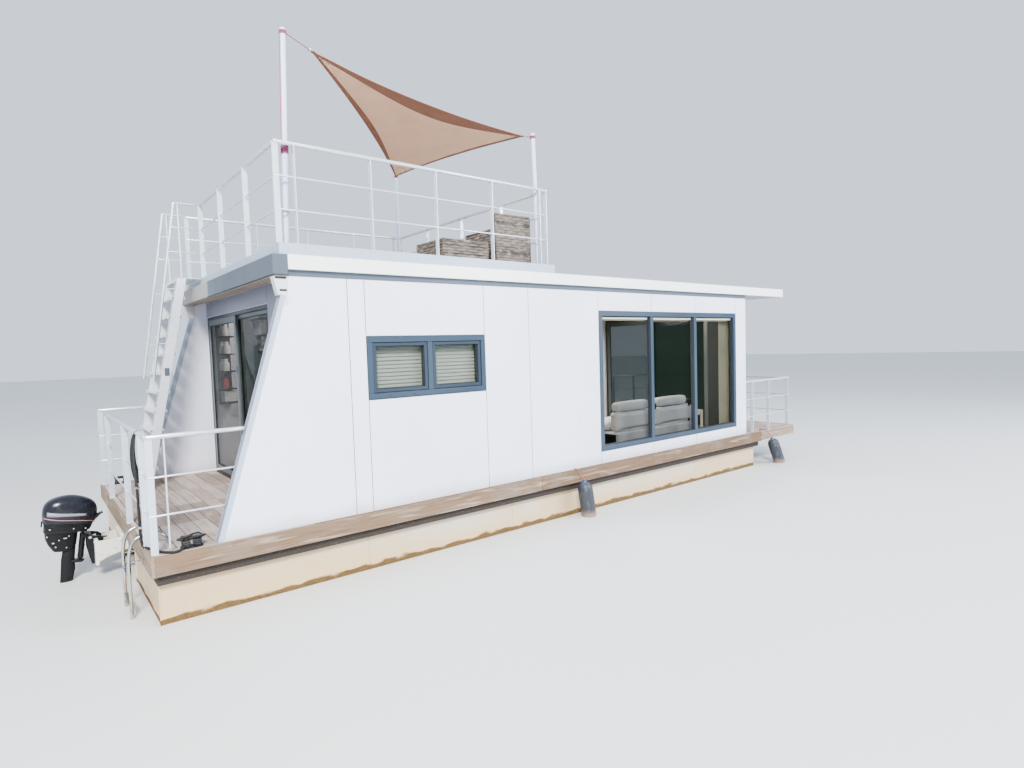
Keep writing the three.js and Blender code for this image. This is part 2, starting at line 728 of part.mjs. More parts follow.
addBothSides('wall', sideWall(), FINISH.wall);
add('wall_aft', facade(AFT_FACADE, AFT_DOOR), FINISH.wall);
add('wall_bow', facade(BOW_FACADE, BOW_DOOR), FINISH.wall);
for (const [name, place] of [['window_small', SMALL_WINDOW], ['window_big', BIG_WINDOW]]) {
  addBothSides(`${name}_frame`, windowFrame(place), FINISH.frame);
  addBothSides(`${name}_glass`, windowGlass(place), FINISH.glass);
}

const aftMiddle = (AFT_DOOR.y0 + AFT_DOOR.y1) / 2;
const bowMiddle = (BOW_DOOR.y0 + BOW_DOOR.y1) / 2;
add('door_aft_frame', doorFrame(AFT_DOOR, 1402, 1432, aftMiddle - 45, AFT_DOOR.y1), FINISH.door);
add('door_aft_leaf', doorLeaf(
  1432 + LEAF_CLEAR, 1472, AFT_DOOR.y0 + 12, aftMiddle + 45, AFT_DOOR.z1 - 15, AFT_DOOR.y0 + 70, -1,
), FINISH.door);
add('door_bow_frame', doorFrame(BOW_DOOR, 9125, 9155, bowMiddle - 45, BOW_DOOR.y1), FINISH.door);
add('door_bow_leaf', doorLeaf(
  9085, 9125 - LEAF_CLEAR, BOW_DOOR.y0 + 12, bowMiddle + 45, BOW_DOOR.z1 - 15, BOW_DOOR.y0 + 80, 1,
), FINISH.door);

const roofInset = ROOF.out + ROOF.board + GAP;
add('roof', box(
  ROOF.x0 + GAP, ROOF.x1 - ROOF.board - GAP, roofInset, across(roofInset), ROOF.low, ROOF.top,
), FINISH.roof);
add('roof_fascia', roofFascia(), FINISH.fascia);
add('roof_aft_beam', aftBeam(), FINISH.sheet);
add('terrace', box(
  TERRACE.x0, TERRACE.x1, TERRACE.y0, across(TERRACE.y0), ROOF.top + GAP, TERRACE.top,
), FINISH.sheet);

roofRailings();
deckRailings();
add('bow_rail', bowRailing(), FINISH.rail);
add('stair', stair(), FINISH.rail);
add('stair_handrail_inner', handrail(STAIR.y0 + 6), FINISH.rail);
add('stair_handrail_outer', handrail(STAIR.y1 - 13), FINISH.rail);

for (const [name, foot, head, radius] of MASTS) {
  add(name, mast(foot, head, radius), FINISH.mast);
}
add('sun_sail', sunSail(), FINISH.sail);

add('swim_ladder', swimLadder(), FINISH.stainless);
add('bollard_starboard', mooringBollard(330), FINISH.iron);
add('bollard_port', mirrored(mooringBollard(220)), FINISH.iron); // clear of the stair's foot
outboard();
for (const [name, top, bottom, both] of FENDERS) {
  const body = fender(top, bottom);
  add(`fender_${name}_starboard`, body, FINISH.fender);
  if (both) add(`fender_${name}_port`, mirrored(body), FINISH.fender);
}
terraceSeats();
furnish();

// The origin: middle of the whole boat in plan, at the pontoons' underside.
const PLAN_MIDDLE = { x: 5100, y: BEAM / 2 };
boat.position.set(-PLAN_MIDDLE.x, -PLAN_MIDDLE.y, DRAUGHT);
const houseboat = new THREE.Group();
houseboat.add(boat);

export default houseboat;
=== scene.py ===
# %% [markdown]
# # A houseboat, dressed
# The boat's solids come from its CAD model, which is loaded first and never moved. Everything after that gives
# each solid the finish and the fine shapes of the real boat: boards, seams, gaskets, welds, ropes and cloth.
# All sizes are in metres. `boat(x, y, z)` counts from the aft deck edge, the starboard deck edge and the
# waterline, because that is how the boat was measured.

import math
import random

import bpy
from mathutils import Matrix, Vector


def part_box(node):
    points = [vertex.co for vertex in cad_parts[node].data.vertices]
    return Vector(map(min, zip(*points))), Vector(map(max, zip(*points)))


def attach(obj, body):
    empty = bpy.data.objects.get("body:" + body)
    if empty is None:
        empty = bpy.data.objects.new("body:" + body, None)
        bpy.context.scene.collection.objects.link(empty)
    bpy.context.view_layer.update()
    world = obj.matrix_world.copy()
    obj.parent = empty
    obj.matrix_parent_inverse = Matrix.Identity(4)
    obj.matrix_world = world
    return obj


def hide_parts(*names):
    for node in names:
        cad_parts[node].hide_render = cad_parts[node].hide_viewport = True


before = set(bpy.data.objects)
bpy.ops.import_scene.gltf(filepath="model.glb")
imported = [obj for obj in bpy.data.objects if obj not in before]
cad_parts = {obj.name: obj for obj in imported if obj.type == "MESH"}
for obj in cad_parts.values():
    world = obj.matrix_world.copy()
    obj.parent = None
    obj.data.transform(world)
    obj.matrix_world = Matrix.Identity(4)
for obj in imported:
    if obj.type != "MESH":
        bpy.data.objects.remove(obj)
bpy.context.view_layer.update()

edge_low, edge_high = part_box("deck_edge")
AFT, STARBOARD = edge_low.x, edge_low.y
BEAM = edge_high.y - edge_low.y
WATERLINE = 0.45
DECK = edge_high.z - WATERLINE
print("deck", round(DECK, 3), "above the water, beam", round(BEAM, 3))


def boat(x, y, z):
    return Vector((AFT + x, STARBOARD + y, WATERLINE + z))


def node_box(name):
    """A CAD node's box, counted as boat() counts: (x0, x1), (y0, y1), (z0, z1)."""
    low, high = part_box(name)
    origin = boat(0, 0, 0)
    return tuple((low[i] - origin[i], high[i] - origin[i]) for i in range(3))


# %% [markdown]
# ## Camera
# The view was fitted to the boat's straight edges: a wide lens off the starboard quarter, a little above the
# deck, rolled by less than two degrees. The matrix is built from the three directions of that view, so the
# roll needs no further parenting or constraints.

# %% Camera
CAMERA_PLACE = boat(-0.747, -5.739, 2.257)
CAMERA_YAW, CAMERA_PITCH, CAMERA_ROLL = (math.radians(a) for a in (51.164, -3.347, -1.765))
FOCAL_PIXELS, FRAME_PIXELS, SENSOR_MM = 610.743, 1024, 36.0


def look_along(yaw, pitch, roll):
    ahead = Vector((math.cos(yaw) * math.cos(pitch), math.sin(yaw) * math.cos(pitch), math.sin(pitch)))
    level_right = Vector((math.sin(yaw), -math.cos(yaw), 0))
    level_up = level_right.cross(ahead)
    right = level_right * math.cos(roll) + level_up * math.sin(roll)
    up = level_up * math.cos(roll) - level_right * math.sin(roll)
    return Matrix((right, up, -ahead)).transposed()


camera_data = bpy.data.cameras.new("camera")
camera_data.sensor_width = SENSOR_MM
camera_data.lens = FOCAL_PIXELS * SENSOR_MM / FRAME_PIXELS
camera_data.clip_end = 200
camera = bpy.data.objects.new("camera", camera_data)
camera.matrix_world = (
    Matrix.Translation(CAMERA_PLACE) @ look_along(CAMERA_YAW, CAMERA_PITCH, CAMERA_ROLL).to_4x4()
)
bpy.context.scene.collection.objects.link(camera)
bpy.context.scene.camera = camera
print("lens", round(camera_data.lens, 2), "mm")

# %% [markdown]
# ## Light and floor
# A plain pale floor lies at the waterline, and a pale sky lights everything from all round. One large lamp
# stands behind the viewer's left shoulder, as the sun did, but soft enough to leave no hard shadow.


# %% Colour and node helpers
def linear(colour):
    """An sRGB hex colour as linear red, green, blue, alpha."""
    channels = [int(colour[i : i + 2], 16) / 255 for i in (1, 3, 5)]
    return (*[c / 12.92 if c <= 0.04045 else ((c + 0.055) / 1.055) ** 2.4 for c in channels], 1.0)


def add_node(tree, kind, settings=None, values=None, links=None):
    """One node with its settings, its sockets' own values, and links {socket: (node, output)}."""
    made = tree.nodes.new(kind)
    for name, value in (settings or {}).items():
        setattr(made, name, value)
    for name, value in (values or {}).items():
        made.inputs[name].default_value = value
    for name, (source, output) in (links or {}).items():
        tree.links.new(source.outputs[output], made.inputs[name])
    return made


# %% Floor, sky and lamps
def make_world(colour, strength):
    world = bpy.data.worlds.new("soft_sky")
    bpy.context.scene.world = world
    world.use_nodes = True
    background = world.node_tree.nodes["Background"]
    background.inputs["Color"].default_value = linear(colour)
    background.inputs["Strength"].default_value = strength


def add_lamp(name, place, target, size, power, colour):
    data = bpy.data.lights.new(name, "AREA")
    data.shape, data.size, data.energy = "DISK", size, power
    data.color = linear(colour)[:3]
    lamp = bpy.data.objects.new(name, data)
    lamp.location = place
    lamp.rotation_euler = (Vector(target) - place).to_track_quat("-Z", "Y").to_euler()
    bpy.context.scene.collection.objects.link(lamp)
    return lamp


def make_floor(size):
    mesh = bpy.data.meshes.new("floor")
    corners = [(-size, -size), (size, -size), (size, size), (-size, size)]
    mesh.from_pydata([(x, y, WATERLINE) for x, y in corners], [], [(0, 1, 2, 3)])
    floor = bpy.data.objects.new("floor", mesh)
    material = bpy.data.materials.new("matt_studio_floor")
    material.use_nodes = True
    surface = material.node_tree.nodes["Principled BSDF"]
    surface.inputs["Base Color"].default_value = linear("#D9DBDA")
    surface.inputs["Roughness"].default_value = 0.6
    mesh.materials.append(material)
    bpy.context.scene.collection.objects.link(floor)


make_floor(90)
make_world("#DCE6F6", 1.0)
add_lamp("key_lamp", boat(-7, -15, 16), boat(4.5, 1.5, 1.5), 6, 7800, "#FFFAF2")
add_lamp("fill_lamp", boat(16, -12, 9), boat(5, 2, 1.5), 9, 2200, "#EAF2FF")
add_lamp("cabin_lamp", boat(7.1, 2.3, 2.9), boat(7.1, 1.6, 0.6), 1.6, 230, "#FFF8EC")
add_lamp("entry_lamp", boat(2.3, 2.7, 2.85), boat(1.6, 3.6, 1.9), 0.7, 26, "#FFF8EC")
bpy.context.scene.view_settings.view_transform = "AgX"
bpy.context.scene.view_settings.look = "AgX - Medium High Contrast"
bpy.context.scene.view_settings.exposure = 0.22

# %% [markdown]
# ## Finishes
# A finish starts with the colour, then how that colour varies, then roughness and bump. `Finish` keeps the
# few nodes that every painted, wooden or metal surface here shares, so that each material below reads as a
# short recipe. Patterns live in object space, which is the boat's own space in metres, so a board's grain or
# a dirt streak keeps its real size on every piece.


# %% Finish recipe
class Finish:
    """A material in the making: a Principled surface and the coordinates of its patterns."""

    def __init__(self, name, colour, roughness, metallic=0.0, ior=None):
        self.material = bpy.data.materials.new(name)
        self.material.use_nodes = True
        self.tree = self.material.node_tree
        self.surface = self.tree.nodes["Principled BSDF"]
        self.surface.inputs["Base Color"].default_value = linear(colour)
        self.surface.inputs["Roughness"].default_value = roughness
        self.surface.inputs["Metallic"].default_value = metallic
        if ior:
            self.surface.inputs["IOR"].default_value = ior
        self.place = add_node(self.tree, "ShaderNodeTexCoord")
        self.colour = None
        self.base = linear(colour)
        self.height = None

    def noise(self, size, detail=3.0, stretch=(1, 1, 1), distort=0.0, kind="ShaderNodeTexNoise"):
        """Noise whose features are about `size` metres, stretched along an axis by more than one."""
        scaled = add_node(
            self.tree,
            "ShaderNodeMapping",
            values={"Scale": tuple(1 / (size * s) for s in stretch)},
            links={"Vector": (self.place, "Object")},
        )
        values = {"Scale": 1.0}
        if kind == "ShaderNodeTexNoise":
            values.update({"Detail": detail, "Distortion": distort})
        return add_node(self.tree, kind, values=values, links={"Vector": (scaled, "Vector")})

    def band(self, source, low, high, output=0):
        """0 below low, 1 above high, smooth between them."""
        return add_node(
            self.tree,
            "ShaderNodeMapRange",
            {"interpolation_type": "SMOOTHSTEP"},
            {"From Min": low, "From Max": high},
            {"Value": (source, output)},
        )

    def combine(self, first, second, operation="MULTIPLY"):
        """Two masks as one; a plain number is allowed as the second."""
        if isinstance(second, (int, float)):
            return add_node(self.tree, "ShaderNodeMath", {"operation": operation}, {1: second}, {0: (first, 0)})
        return add_node(
            self.tree, "ShaderNodeMath", {"operation": operation}, links={0: (first, 0), 1: (second, 0)}
        )

    def tint(self, mask, colour, amount=1.0):
        """Lays a colour over what is there, as much as the mask says."""
        strength = self.combine(mask, amount)
        mix = add_node(
            self.tree, "ShaderNodeMix", {"data_type": "RGBA", "clamp_factor": True}, {7: linear(colour)}
        )
        if self.colour is None:
            mix.inputs[6].default_value = self.base
        else:
            self.tree.links.new(self.colour.outputs[2], mix.inputs[6])
        self.tree.links.new(strength.outputs[0], mix.inputs[0])
        self.tree.links.new(mix.outputs[2], self.surface.inputs["Base Color"])
        self.colour = mix
        return self

    def roughen(self, mask, low, high):
        """Roughness from low to high where the mask goes from 0 to 1."""
        spread = add_node(
            self.tree, "ShaderNodeMapRange", values={"To Min": low, "To Max": high}, links={"Value": (mask, 0)}
        )
        self.tree.links.new(spread.outputs[0], self.surface.inputs["Roughness"])
        return self

    def bump(self, source, depth, output=0):
        """Relief `depth` metres high; a second call adds to the first."""
        values = {"Strength": 1.0, "Distance": depth}
        relief = add_node(self.tree, "ShaderNodeBump", values=values, links={"Height": (source, output)})
        if self.height is not None:
            self.tree.links.new(self.height.outputs["Normal"], relief.inputs["Normal"])
        self.tree.links.new(relief.outputs["Normal"], self.surface.inputs["Normal"])
        self.height = relief
        return self

    def axis(self, name):
        """One coordinate of the boat's own space, 'X', 'Y' or 'Z', in metres."""
        split = add_node(self.tree, "ShaderNodeSeparateXYZ", links={"Vector": (self.place, "Object")})
        return add_node(self.tree, "ShaderNodeMath", {"operation": "ADD"}, {1: 0.0}, {0: (split, name)})

    def set(self, **sockets):
        for name, value in sockets.items():
            self.surface.inputs[name.replace("_", " ")].default_value = value
        return self


# %% [markdown]
# ## Paint on steel and aluminium
# The pontoons are welded steel under cream enamel. Years of sun turn enamel chalky, which shows as paler, bluish
# patches high on the plate; rain leaves fine vertical runs; and at the waterline a ragged brown crust of growth
# climbs a few centimetres. The crust's edge is the height above the water plus noise, cut off smoothly.


# %% Hull enamel
def hull_enamel():
    coat = Finish("chalky_cream_enamel_on_steel", "#D6BD98", 0.42)
    height = coat.axis("Z")
    patch = coat.noise(0.9, detail=4, stretch=(1.6, 1.6, 0.8))
    high = coat.band(height, WATERLINE + 0.08, WATERLINE + 0.26)
    coat.tint(coat.combine(coat.band(patch, 0.42, 0.62), high), "#CBCFD4", 0.55)
    coat.tint(high, "#CDB99C", 0.4)
    runs = coat.noise(0.05, detail=3, stretch=(1, 1, 14))
    coat.tint(coat.band(runs, 0.56, 0.78), "#B7B2A4", 0.45)
    # Towards the waterline the plate is tinted warmer and a little darker, in blotches.
    blotch_noise = coat.noise(0.35, detail=3)
    low_warm_band = coat.combine(coat.band(height, WATERLINE + 0.16, WATERLINE + 0.03), coat.band(blotch_noise, 0.35, 0.7))
    coat.tint(low_warm_band, "#D6B588", 0.5)
    ragged = coat.combine(coat.noise(0.16, detail=6, stretch=(1.5, 1.5, 0.5)), 0.14)
    crust = coat.band(coat.combine(height, ragged, "SUBTRACT"), WATERLINE, WATERLINE - 0.03)
    coat.tint(crust, "#6F5630", 0.95)
    coat.tint(coat.combine(crust, coat.band(coat.noise(0.012, detail=5), 0.45, 0.6)), "#54462A", 0.8)
    coat.tint(coat.band(height, WATERLINE - 0.01, WATERLINE - 0.06), "#3E3B2A", 0.9)
    coat.roughen(crust, 0.42, 0.9)
    coat.bump(coat.noise(0.8, detail=2), 0.004)
    coat.bump(crust, 0.003)
    return coat.material


# %% [markdown]
# The cabin is clad in white coated sandwich panels. They are made in a press, so they are flat and even: what
# shows is a faint orange-peel in the coating, grey rain runs below the roof edge, and green-grey dust near
# the deck. The same recipe with other colours does for the blue-grey sheet metal of the roof edge.


# %% Coated sheet
def sheet_coating(name, colour, dirt, roughness, streak=0.3):
    sheet = Finish(name, colour, roughness)
    cloud = sheet.noise(1.6, detail=3)
    sheet.tint(sheet.band(cloud, 0.4, 0.75), dirt, 0.22)
    runs = sheet.noise(0.045, detail=3, stretch=(1, 1, 22))
    sheet.tint(sheet.band(runs, 0.6, 0.85), dirt, streak)
    specks = sheet.noise(0.03, detail=2)
    sheet.tint(sheet.band(specks, 0.72, 0.8), dirt, 0.5)
    sheet.roughen(sheet.band(cloud, 0.3, 0.7), roughness - 0.06, roughness + 0.1)
    sheet.bump(sheet.noise(0.02, detail=1), 0.0004)
    sheet.bump(sheet.noise(1.1, detail=1), 0.0025)
    return sheet


def coated_sheet(*recipe):
    return sheet_coating(*recipe).material


def wall_panel():
    panel = sheet_coating("white_coated_sandwich_panel", "#E9EDFC", "#BFC6D6", 0.36)
    height = panel.axis("Z")
    ragged = panel.combine(panel.noise(0.3, detail=4), 0.14)
    low = panel.band(panel.combine(height, ragged, "SUBTRACT"), WATERLINE + DECK + 0.1, WATERLINE + DECK - 0.08)
    panel.tint(low, "#B4AC9C", 0.45)
    return panel.material


# %% [markdown]
# Aluminium tube and flat bar come from the press with fine drawing lines and go dull outdoors. Metals keep
# the default IOR; what tells this one from chrome is roughness near 0.4 and a soft mottle of oxide.


# %% Bare metals
def drawn_aluminium(name, colour, roughness=0.38, metallic=0.85):
    metal = Finish(name, colour, roughness, metallic)
    mottle = metal.noise(0.09, detail=5)
    metal.tint(metal.band(mottle, 0.4, 0.7), "#A2AAB3", 0.3)
    metal.tint(metal.band(metal.noise(0.5, detail=3), 0.45, 0.7), "#DCE2E8", 0.4)
    metal.roughen(metal.band(mottle, 0.35, 0.7), roughness - 0.08, roughness + 0.16)
    metal.bump(metal.noise(0.004, detail=2, stretch=(6, 6, 6)), 0.0002)
    return metal.material


def polished_stainless():
    steel = Finish("polished_stainless_tube", "#C8CBCD", 0.16, 1.0)
    blotch_noise = steel.noise(0.05, detail=5)
    height = steel.band(steel.axis("Z"), WATERLINE + 0.35, WATERLINE - 0.05)
    steel.tint(steel.combine(steel.band(blotch_noise, 0.4, 0.62), height), "#8A5A35", 0.7)
    steel.tint(steel.band(blotch_noise, 0.55, 0.75), "#8D8B86", 0.5)
    steel.roughen(steel.band(blotch_noise, 0.4, 0.7), 0.14, 0.42)
    return steel.material


def painted_iron(name, colour, worn, roughness=0.4, ior=1.5):
    paint = Finish(name, colour, roughness, 0.0, ior)
    wear = paint.noise(0.02, detail=6)
    paint.tint(paint.band(wear, 0.58, 0.7), worn, 0.6)
    paint.roughen(paint.band(wear, 0.4, 0.7), roughness, min(roughness + 0.3, 0.95))
    paint.bump(wear, 0.0006)
    return paint.material


# %% [markdown]
# ## Timber
# The deck and edge boards are softwood that has greyed. Grain is noise drawn out a long way along the board and
# very narrow across it, 4 mm from line to line; each board also has its own tone, which the mesh carries as a
# point attribute, because on a real deck neighbours never quite match.


# %% Weathered boards
def weathered_timber(name, along, base, dark, pale, ribbed=False):
    stretch = {"x": (60, 1, 1), "y": (1, 60, 1)}[along]
    wood = Finish(name, base, 0.82)
    tone = add_node(wood.tree, "ShaderNodeAttribute", {"attribute_name": "tone"})
    wood.tint(wood.band(tone, 0.1, 0.9, "Fac"), pale, 0.55)
    wood.tint(wood.band(tone, 0.35, 0.0, "Fac"), dark, 0.35)
    grain = wood.noise(0.008, detail=5, stretch=stretch, distort=0.4)
    wood.tint(wood.band(grain, 0.48, 0.66), dark, 0.55)
    broad = wood.noise(0.05, detail=4, stretch=tuple(s ** 0.6 for s in stretch), distort=0.8)
    wood.tint(wood.band(broad, 0.52, 0.72), pale, 0.5)
    wood.tint(wood.band(wood.noise(0.4, detail=4), 0.5, 0.7), "#8C8882", 0.35)
    wood.tint(wood.band(wood.noise(0.06, detail=5), 0.66, 0.74), "#6A5A4C", 0.6)
    wood.bump(grain, 0.0012)
    if ribbed:
        # Ribs are pressed 8 mm apart into the face of a decking board, along its length
        across = "Y" if along == "x" else "X"
        ribs = add_node(wood.tree, "ShaderNodeMath", {"operation": "SINE"})
        count = wood.combine(wood.axis(across), 2 * math.pi / 0.0082)
        wood.tree.links.new(count.outputs[0], ribs.inputs[0])
        wood.bump(ribs, 0.0008)
        wood.tint(wood.band(ribs, -0.2, -0.9), dark, 0.4)
    return wood.material


# %% [markdown]
# ## Glass, plastics and cloth
# Tinted window glass lets part of the light through, so its alpha says how much it covers what is behind it.
# A low IOR keeps the pale studio out of its reflection. Vinyl fenders are soft PVC: dark, slightly glossy,
# scuffed pale where they rub.


# %% Glass
def window_pane(name, tint, mirror):
    pane = Finish(name, tint, 0.03, 0.0, 1.25)
    pane.set(Alpha=mirror, Specular_IOR_Level=0.14)
    return pane.material


# %% Plastics and rope
def soft_vinyl():
    vinyl = Finish("inflated_grey_vinyl", "#3E434B", 0.42, 0.0, 1.53)
    rub = vinyl.noise(0.05, detail=6, stretch=(1, 1, 3))
    vinyl.tint(vinyl.band(rub, 0.5, 0.75), "#777A7C", 0.55)
    height = vinyl.axis("Z")
    vinyl.tint(vinyl.band(height, WATERLINE + 0.12, WATERLINE), "#BFA196", 0.6)
    vinyl.roughen(vinyl.band(rub, 0.35, 0.7), 0.34, 0.7)
    vinyl.bump(rub, 0.0008)
    return vinyl.material


def moulded_plastic(name, colour, roughness=0.45, mottle="#8A8A8A", ior=1.46):
    plastic = Finish(name, colour, roughness, 0.0, ior)
    cloud = plastic.noise(0.04, detail=4)
    plastic.tint(plastic.band(cloud, 0.55, 0.8), mottle, 0.2)
    plastic.roughen(plastic.band(cloud, 0.3, 0.7), roughness - 0.05, roughness + 0.12)
    plastic.bump(plastic.noise(0.0015, detail=1), 0.0001)
    return plastic.material


def braided_rope(name, colour, fleck, strand=0.004):
    rope = Finish(name, colour, 0.85)
    weave = rope.noise(strand, kind="ShaderNodeTexVoronoi")
    rope.tint(rope.band(weave, 0.35, 0.7), fleck, 0.7)
    rope.tint(rope.band(rope.noise(0.05, detail=3), 0.45, 0.7), "#6E675E", 0.35)
    rope.bump(weave, 0.0012)
    return rope.material


# %% [markdown]
# Woven cloth is two sets of threads. Each set is a sine across the cloth; where they cross, one thread rides
# over the other. Threads of 1 mm would blur to nothing at this distance, so they are drawn a little coarser.


# %% Woven cloth
def woven_cloth(name, colour, shade, pitch, axes="XZ", roughness=0.9, sheen=0.15, through=0.0):
    cloth = Finish(name, colour, roughness)
    threads = []
    for axis in axes:
        turn = cloth.combine(cloth.axis(axis), 2 * math.pi / pitch)
        threads.append(add_node(cloth.tree, "ShaderNodeMath", {"operation": "SINE"}, links={0: (turn, 0)}))
    weave = cloth.combine(threads[0], threads[1])
    cloth.tint(cloth.band(weave, -0.2, 0.8), shade, 0.35)
    cloth.tint(cloth.band(cloth.noise(0.3, detail=4), 0.45, 0.72), shade, 0.5)
    cloth.bump(weave, pitch * 0.25)
    cloth.set(Sheen_Weight=sheen, Transmission_Weight=through)
    return cloth.material


# %% [markdown]
# ## Making meshes
# Real boats are made of sheet, bar, board and tube, so the helper below knows those few forms. It only collects
# points and faces; `make` turns them into one named piece, gives it its finish and says which CAD body it moves
# with. Sharp machine corners look false in a render, so every block gets its edges eased by a millimetre or two.


# %% Solids kit
def block_faces():
    """The 26 faces of a box with eased edges, on 24 points: three at each corner, one for each axis."""
    faces = []
    for axis in range(3):
        a, b = (axis + 1) % 3, (axis + 2) % 3
        for side in (0, 1):
            ring = [side << axis | u << a | v << b for u, v in ((0, 0), (1, 0), (1, 1), (0, 1))]
            faces.append([corner * 3 + axis for corner in ring])
        for u in (0, 1):
            for v in (0, 1):
                start = u << a | v << b
                end = start | 1 << axis
                faces.append([start * 3 + a, end * 3 + a, end * 3 + b, start * 3 + b])
    return faces + [[corner * 3, corner * 3 + 1, corner * 3 + 2] for corner in range(8)]


def block_points(half, soft):
    points = []
    for corner in range(8):
        sign = [1 if corner >> axis & 1 else -1 for axis in range(3)]
        for axis in range(3):
            points.append(Vector([sign[i] * (half[i] - (0 if i == axis else soft)) for i in range(3)]))
    return points


def facing_out(points, faces):
    """The faces of a convex solid, each turned to face away from its middle."""
    middle = sum(points, Vector()) / len(points)
    turned = []
    for face in faces:
        a, b, c = (points[i] for i in face[:3])
        outward = (b - a).cross(c - a).dot((a + b + c) / 3 - middle) > 0
        turned.append(face if outward else face[::-1])
    return turned


BLOCK_FACES = facing_out(block_points((1, 1, 1), 0.1), block_faces())


def frames_along(points, closed=False):
    """A position and two cross directions at each point of a path, with no sudden twist."""
    count = len(points)
    tangents = []
    for i in range(count):
        before = points[(i - 1) % count] if closed or i > 0 else points[i]
        after = points[(i + 1) % count] if closed or i < count - 1 else points[i]
        tangents.append((after - before).normalized())
    side = tangents[0].orthogonal().normalized()
    frames = []
    for point, tangent in zip(points, tangents):
        side = (side - tangent * side.dot(tangent)).normalized()
        frames.append((point, side, tangent.cross(side)))
    return frames


def smooth_path(points, steps=8):
    """A Catmull-Rom curve through the points."""
    points = [Vector(p) for p in points]
    padded = [points[0] * 2 - points[1], *points, points[-1] * 2 - points[-2]]
    curve = []
    for a, b, c, d in zip(padded, padded[1:], padded[2:], padded[3:]):
        for i in range(steps):
            t = i / steps
            bend, twist = 2 * a - 5 * b + 4 * c - d, 3 * b - a - 3 * c + d
            curve.append(0.5 * (2 * b + (c - a) * t + bend * t * t + twist * t ** 3))
    return [*curve, points[-1]]


def round_steps(count):
    """The angles of a whole turn in equal steps."""
    return [2 * math.pi * k / count for k in range(count)]


def band_faces(low, high, count):
    """The faces between two closed rings of points that start at these indices."""
    return [[low + i, low + (i + 1) % count, high + (i + 1) % count, high + i] for i in range(count)]


def grid_faces(rows, columns, start=0, flip=False):
    """The faces of a net of points, one row after another."""
    faces = []
    for corner in (start + r * (columns + 1) + c for r in range(rows) for c in range(columns)):
        quad = [corner, corner + 1, corner + columns + 2, corner + columns + 1]
        faces.append(quad[::-1] if flip else quad)
    return faces


